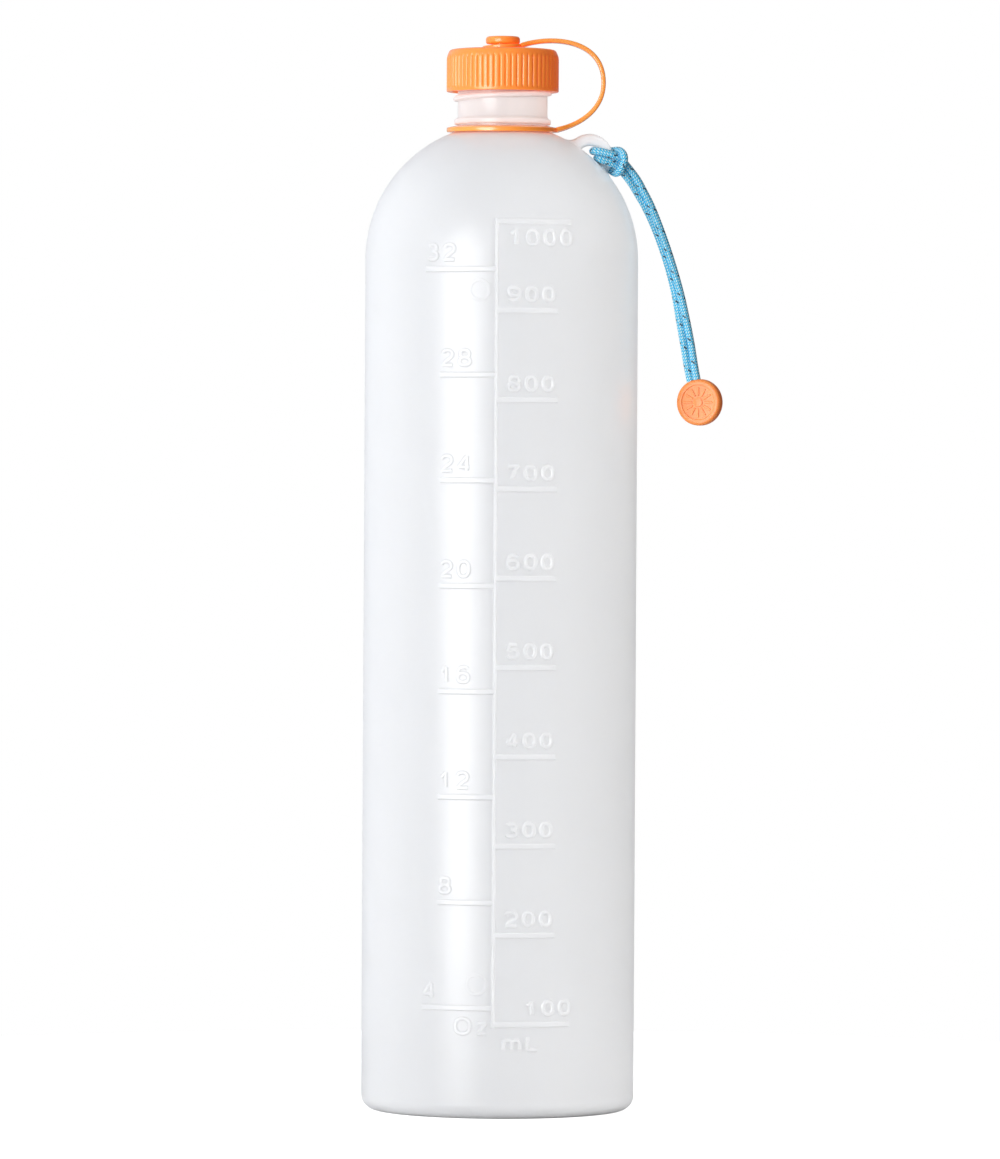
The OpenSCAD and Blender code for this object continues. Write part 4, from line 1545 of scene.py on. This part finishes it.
class BOTTLE_OT_stage(bpy.types.Operator):
    """Sets up the camera, the lamps, the pale floor and the white surroundings"""

    bl_idname = "bottle.stage"
    bl_label = "Stage"

    def execute(self, context):
        scene = context.scene
        lens = bpy.data.cameras.new("camera")
        lens.lens = lens.sensor_width * CAMERA_AWAY / FIELD_HEIGHT
        lens.clip_end = 20
        camera = bpy.data.objects.new("camera", lens)
        scene.collection.objects.link(camera)
        place = Vector((0, -CAMERA_AWAY, CAMERA_UP))
        look = (Vector((0, 0, AIM_UP)) - place).to_track_quat("-Z", "Y").to_matrix().to_4x4()
        roll = Matrix.Rotation(math.radians(CAMERA_ROLL), 4, "Z")
        camera.matrix_world = Matrix.Translation(place) @ look @ roll
        scene.camera = camera

        # The bottle stands on a round pale table, so that the soft box also shows in its lower wall.
        rim = arc((0, 0), TABLE_R, 0, 360, 96)[:-1]
        floor = mesh_object("floor", [(x, y, 0) for x, y in rim], [tuple(range(len(rim)))])
        floor.data.materials.append(stage_white())

        # A tall soft box on the left gives most of the light and the long pale band down the front.
        soft_box("key_softbox", -34, 1.5, 0.36, (0.92, 0.78), 14.2)
        # It reaches below the table's height, and that part gives gloss alone.
        low = soft_box("key_softbox_low", -34, 1.5, -0.24, (0.92, 0.42), 7.4)
        low.visible_diffuse = False
        # A weak one overhead lifts the shoulder.
        overhead = soft_box("overhead", 0, 0.1, 1.6, (1.2, 1.2), 1.8)
        overhead.visible_glossy = False
        # The milky wall passes light on from side to side. Two soft boxes that reach the bottle alone
        # stand for what comes through to its far sides, and they give no gloss.
        milky = bpy.data.collections.new(MILKY)
        for name, turn, power in (("through_right", 75, 18.6), ("through_back_left", -120, 7.0)):
            lamp = soft_box(name, turn, 1.5, 0.4, (0.8, 1.0), power)
            lamp.visible_glossy = False
            lamp.light_linking.receiver_collection = milky

        world = bpy.data.worlds.new("white_studio")
        world.use_nodes = True
        scene.world = world
        tree = world.node_tree
        tree.nodes.clear()
        rays = add_node(tree, "ShaderNodeLightPath").outputs
        way = add_node(tree, "ShaderNodeTexCoord").outputs["Generated"]
        # The studio is open on the right and behind, where the walls are a darker grey.
        side = add_node(
            tree, "ShaderNodeVectorMath", {"operation": "DOT_PRODUCT"}, {0: way, 1: (1.0, 0.0, 0.0)}
        ).outputs["Value"]
        dim = add_node(
            tree,
            "ShaderNodeMapRange",
            {"interpolation_type": "SMOOTHSTEP"},
            {"Value": side, "From Min": -0.8, "From Max": 0.9},
        ).outputs[0]
        colours = {"Factor": dim, 6: linear("#D0D4DA"), 7: linear("#5A5856")}
        walls = add_node(tree, "ShaderNodeMix", {"data_type": "RGBA"}, colours).outputs[2]
        light, white = (
            add_node(tree, "ShaderNodeBackground", inputs={"Color": shade}).outputs[0]
            for shade in (walls, (1, 1, 1, 1))
        )
        seen = add_node(
            tree, "ShaderNodeMixShader", inputs={0: rays["Is Camera Ray"], 1: light, 2: white}
        ).outputs[0]
        add_node(tree, "ShaderNodeOutputWorld", inputs={"Surface": seen})
        scene.view_settings.view_transform = "Standard"
        return {"FINISHED"}


def stage_white():
    """Matt white paper. The camera sees it lit to white, and only shadows show on it."""
    material = bpy.data.materials.new("white_paper")
    material.use_nodes = True
    tree = material.node_tree
    tree.nodes.clear()
    rays = add_node(tree, "ShaderNodeLightPath").outputs
    paper = add_node(tree, "ShaderNodeBsdfDiffuse", inputs={"Color": linear("#D8D8D8")}).outputs[0]
    lit = add_node(tree, "ShaderNodeEmission", inputs={"Color": (1, 1, 1, 1), "Strength": 0.95}).outputs[0]
    both = add_node(tree, "ShaderNodeAddShader", inputs={0: paper, 1: lit}).outputs[0]
    seen = add_node(
        tree, "ShaderNodeMixShader", inputs={0: rays["Is Camera Ray"], 1: paper, 2: both}
    ).outputs[0]
    add_node(tree, "ShaderNodeOutputMaterial", inputs={"Surface": seen})
    return material


# ---------------------------------------------------------------- panel and order of work

OPERATORS = (
    BOTTLE_OT_stage,
    BOTTLE_OT_puller,
    BOTTLE_OT_cord,
    BOTTLE_OT_bottle,
    BOTTLE_OT_cap,
    BOTTLE_OT_tether,
)


class BOTTLE_PT_panel(bpy.types.Panel):
    """Lists the bottle's sizes and the steps that make it"""

    bl_idname = "BOTTLE_PT_panel"
    bl_label = "Squeeze bottle"
    bl_space_type = "VIEW_3D"
    bl_region_type = "UI"
    bl_category = "Bottle"

    def draw(self, context):
        for operator in OPERATORS:
            self.layout.operator(operator.bl_idname)
        for name, group in GROUPS.items():
            box = self.layout.box()
            for setting in group.__annotations__:
                box.prop(getattr(context.scene, name), setting)


def register():
    """Registers the classes and hangs the sizes on the scene."""
    for group in GROUPS.values():
        bpy.utils.register_class(group)
    for name, group in GROUPS.items():
        setattr(bpy.types.Scene, name, bpy.props.PointerProperty(type=group))
    for part in (*OPERATORS, BOTTLE_PT_panel):
        bpy.utils.register_class(part)


def unregister():
    """Undoes register."""
    for part in (*OPERATORS, BOTTLE_PT_panel):
        bpy.utils.unregister_class(part)
    for name, group in GROUPS.items():
        delattr(bpy.types.Scene, name)
        bpy.utils.unregister_class(group)


def main():
    """Makes the stage and every piece."""
    register()
    bpy.ops.bottle.stage()
    bpy.ops.bottle.puller()
    bpy.ops.bottle.cord()
    bpy.ops.bottle.shell()
    bpy.ops.bottle.cap()
    bpy.ops.bottle.tether()
    bpy.context.view_layer.update()


if __name__ == "__main__":
    main()
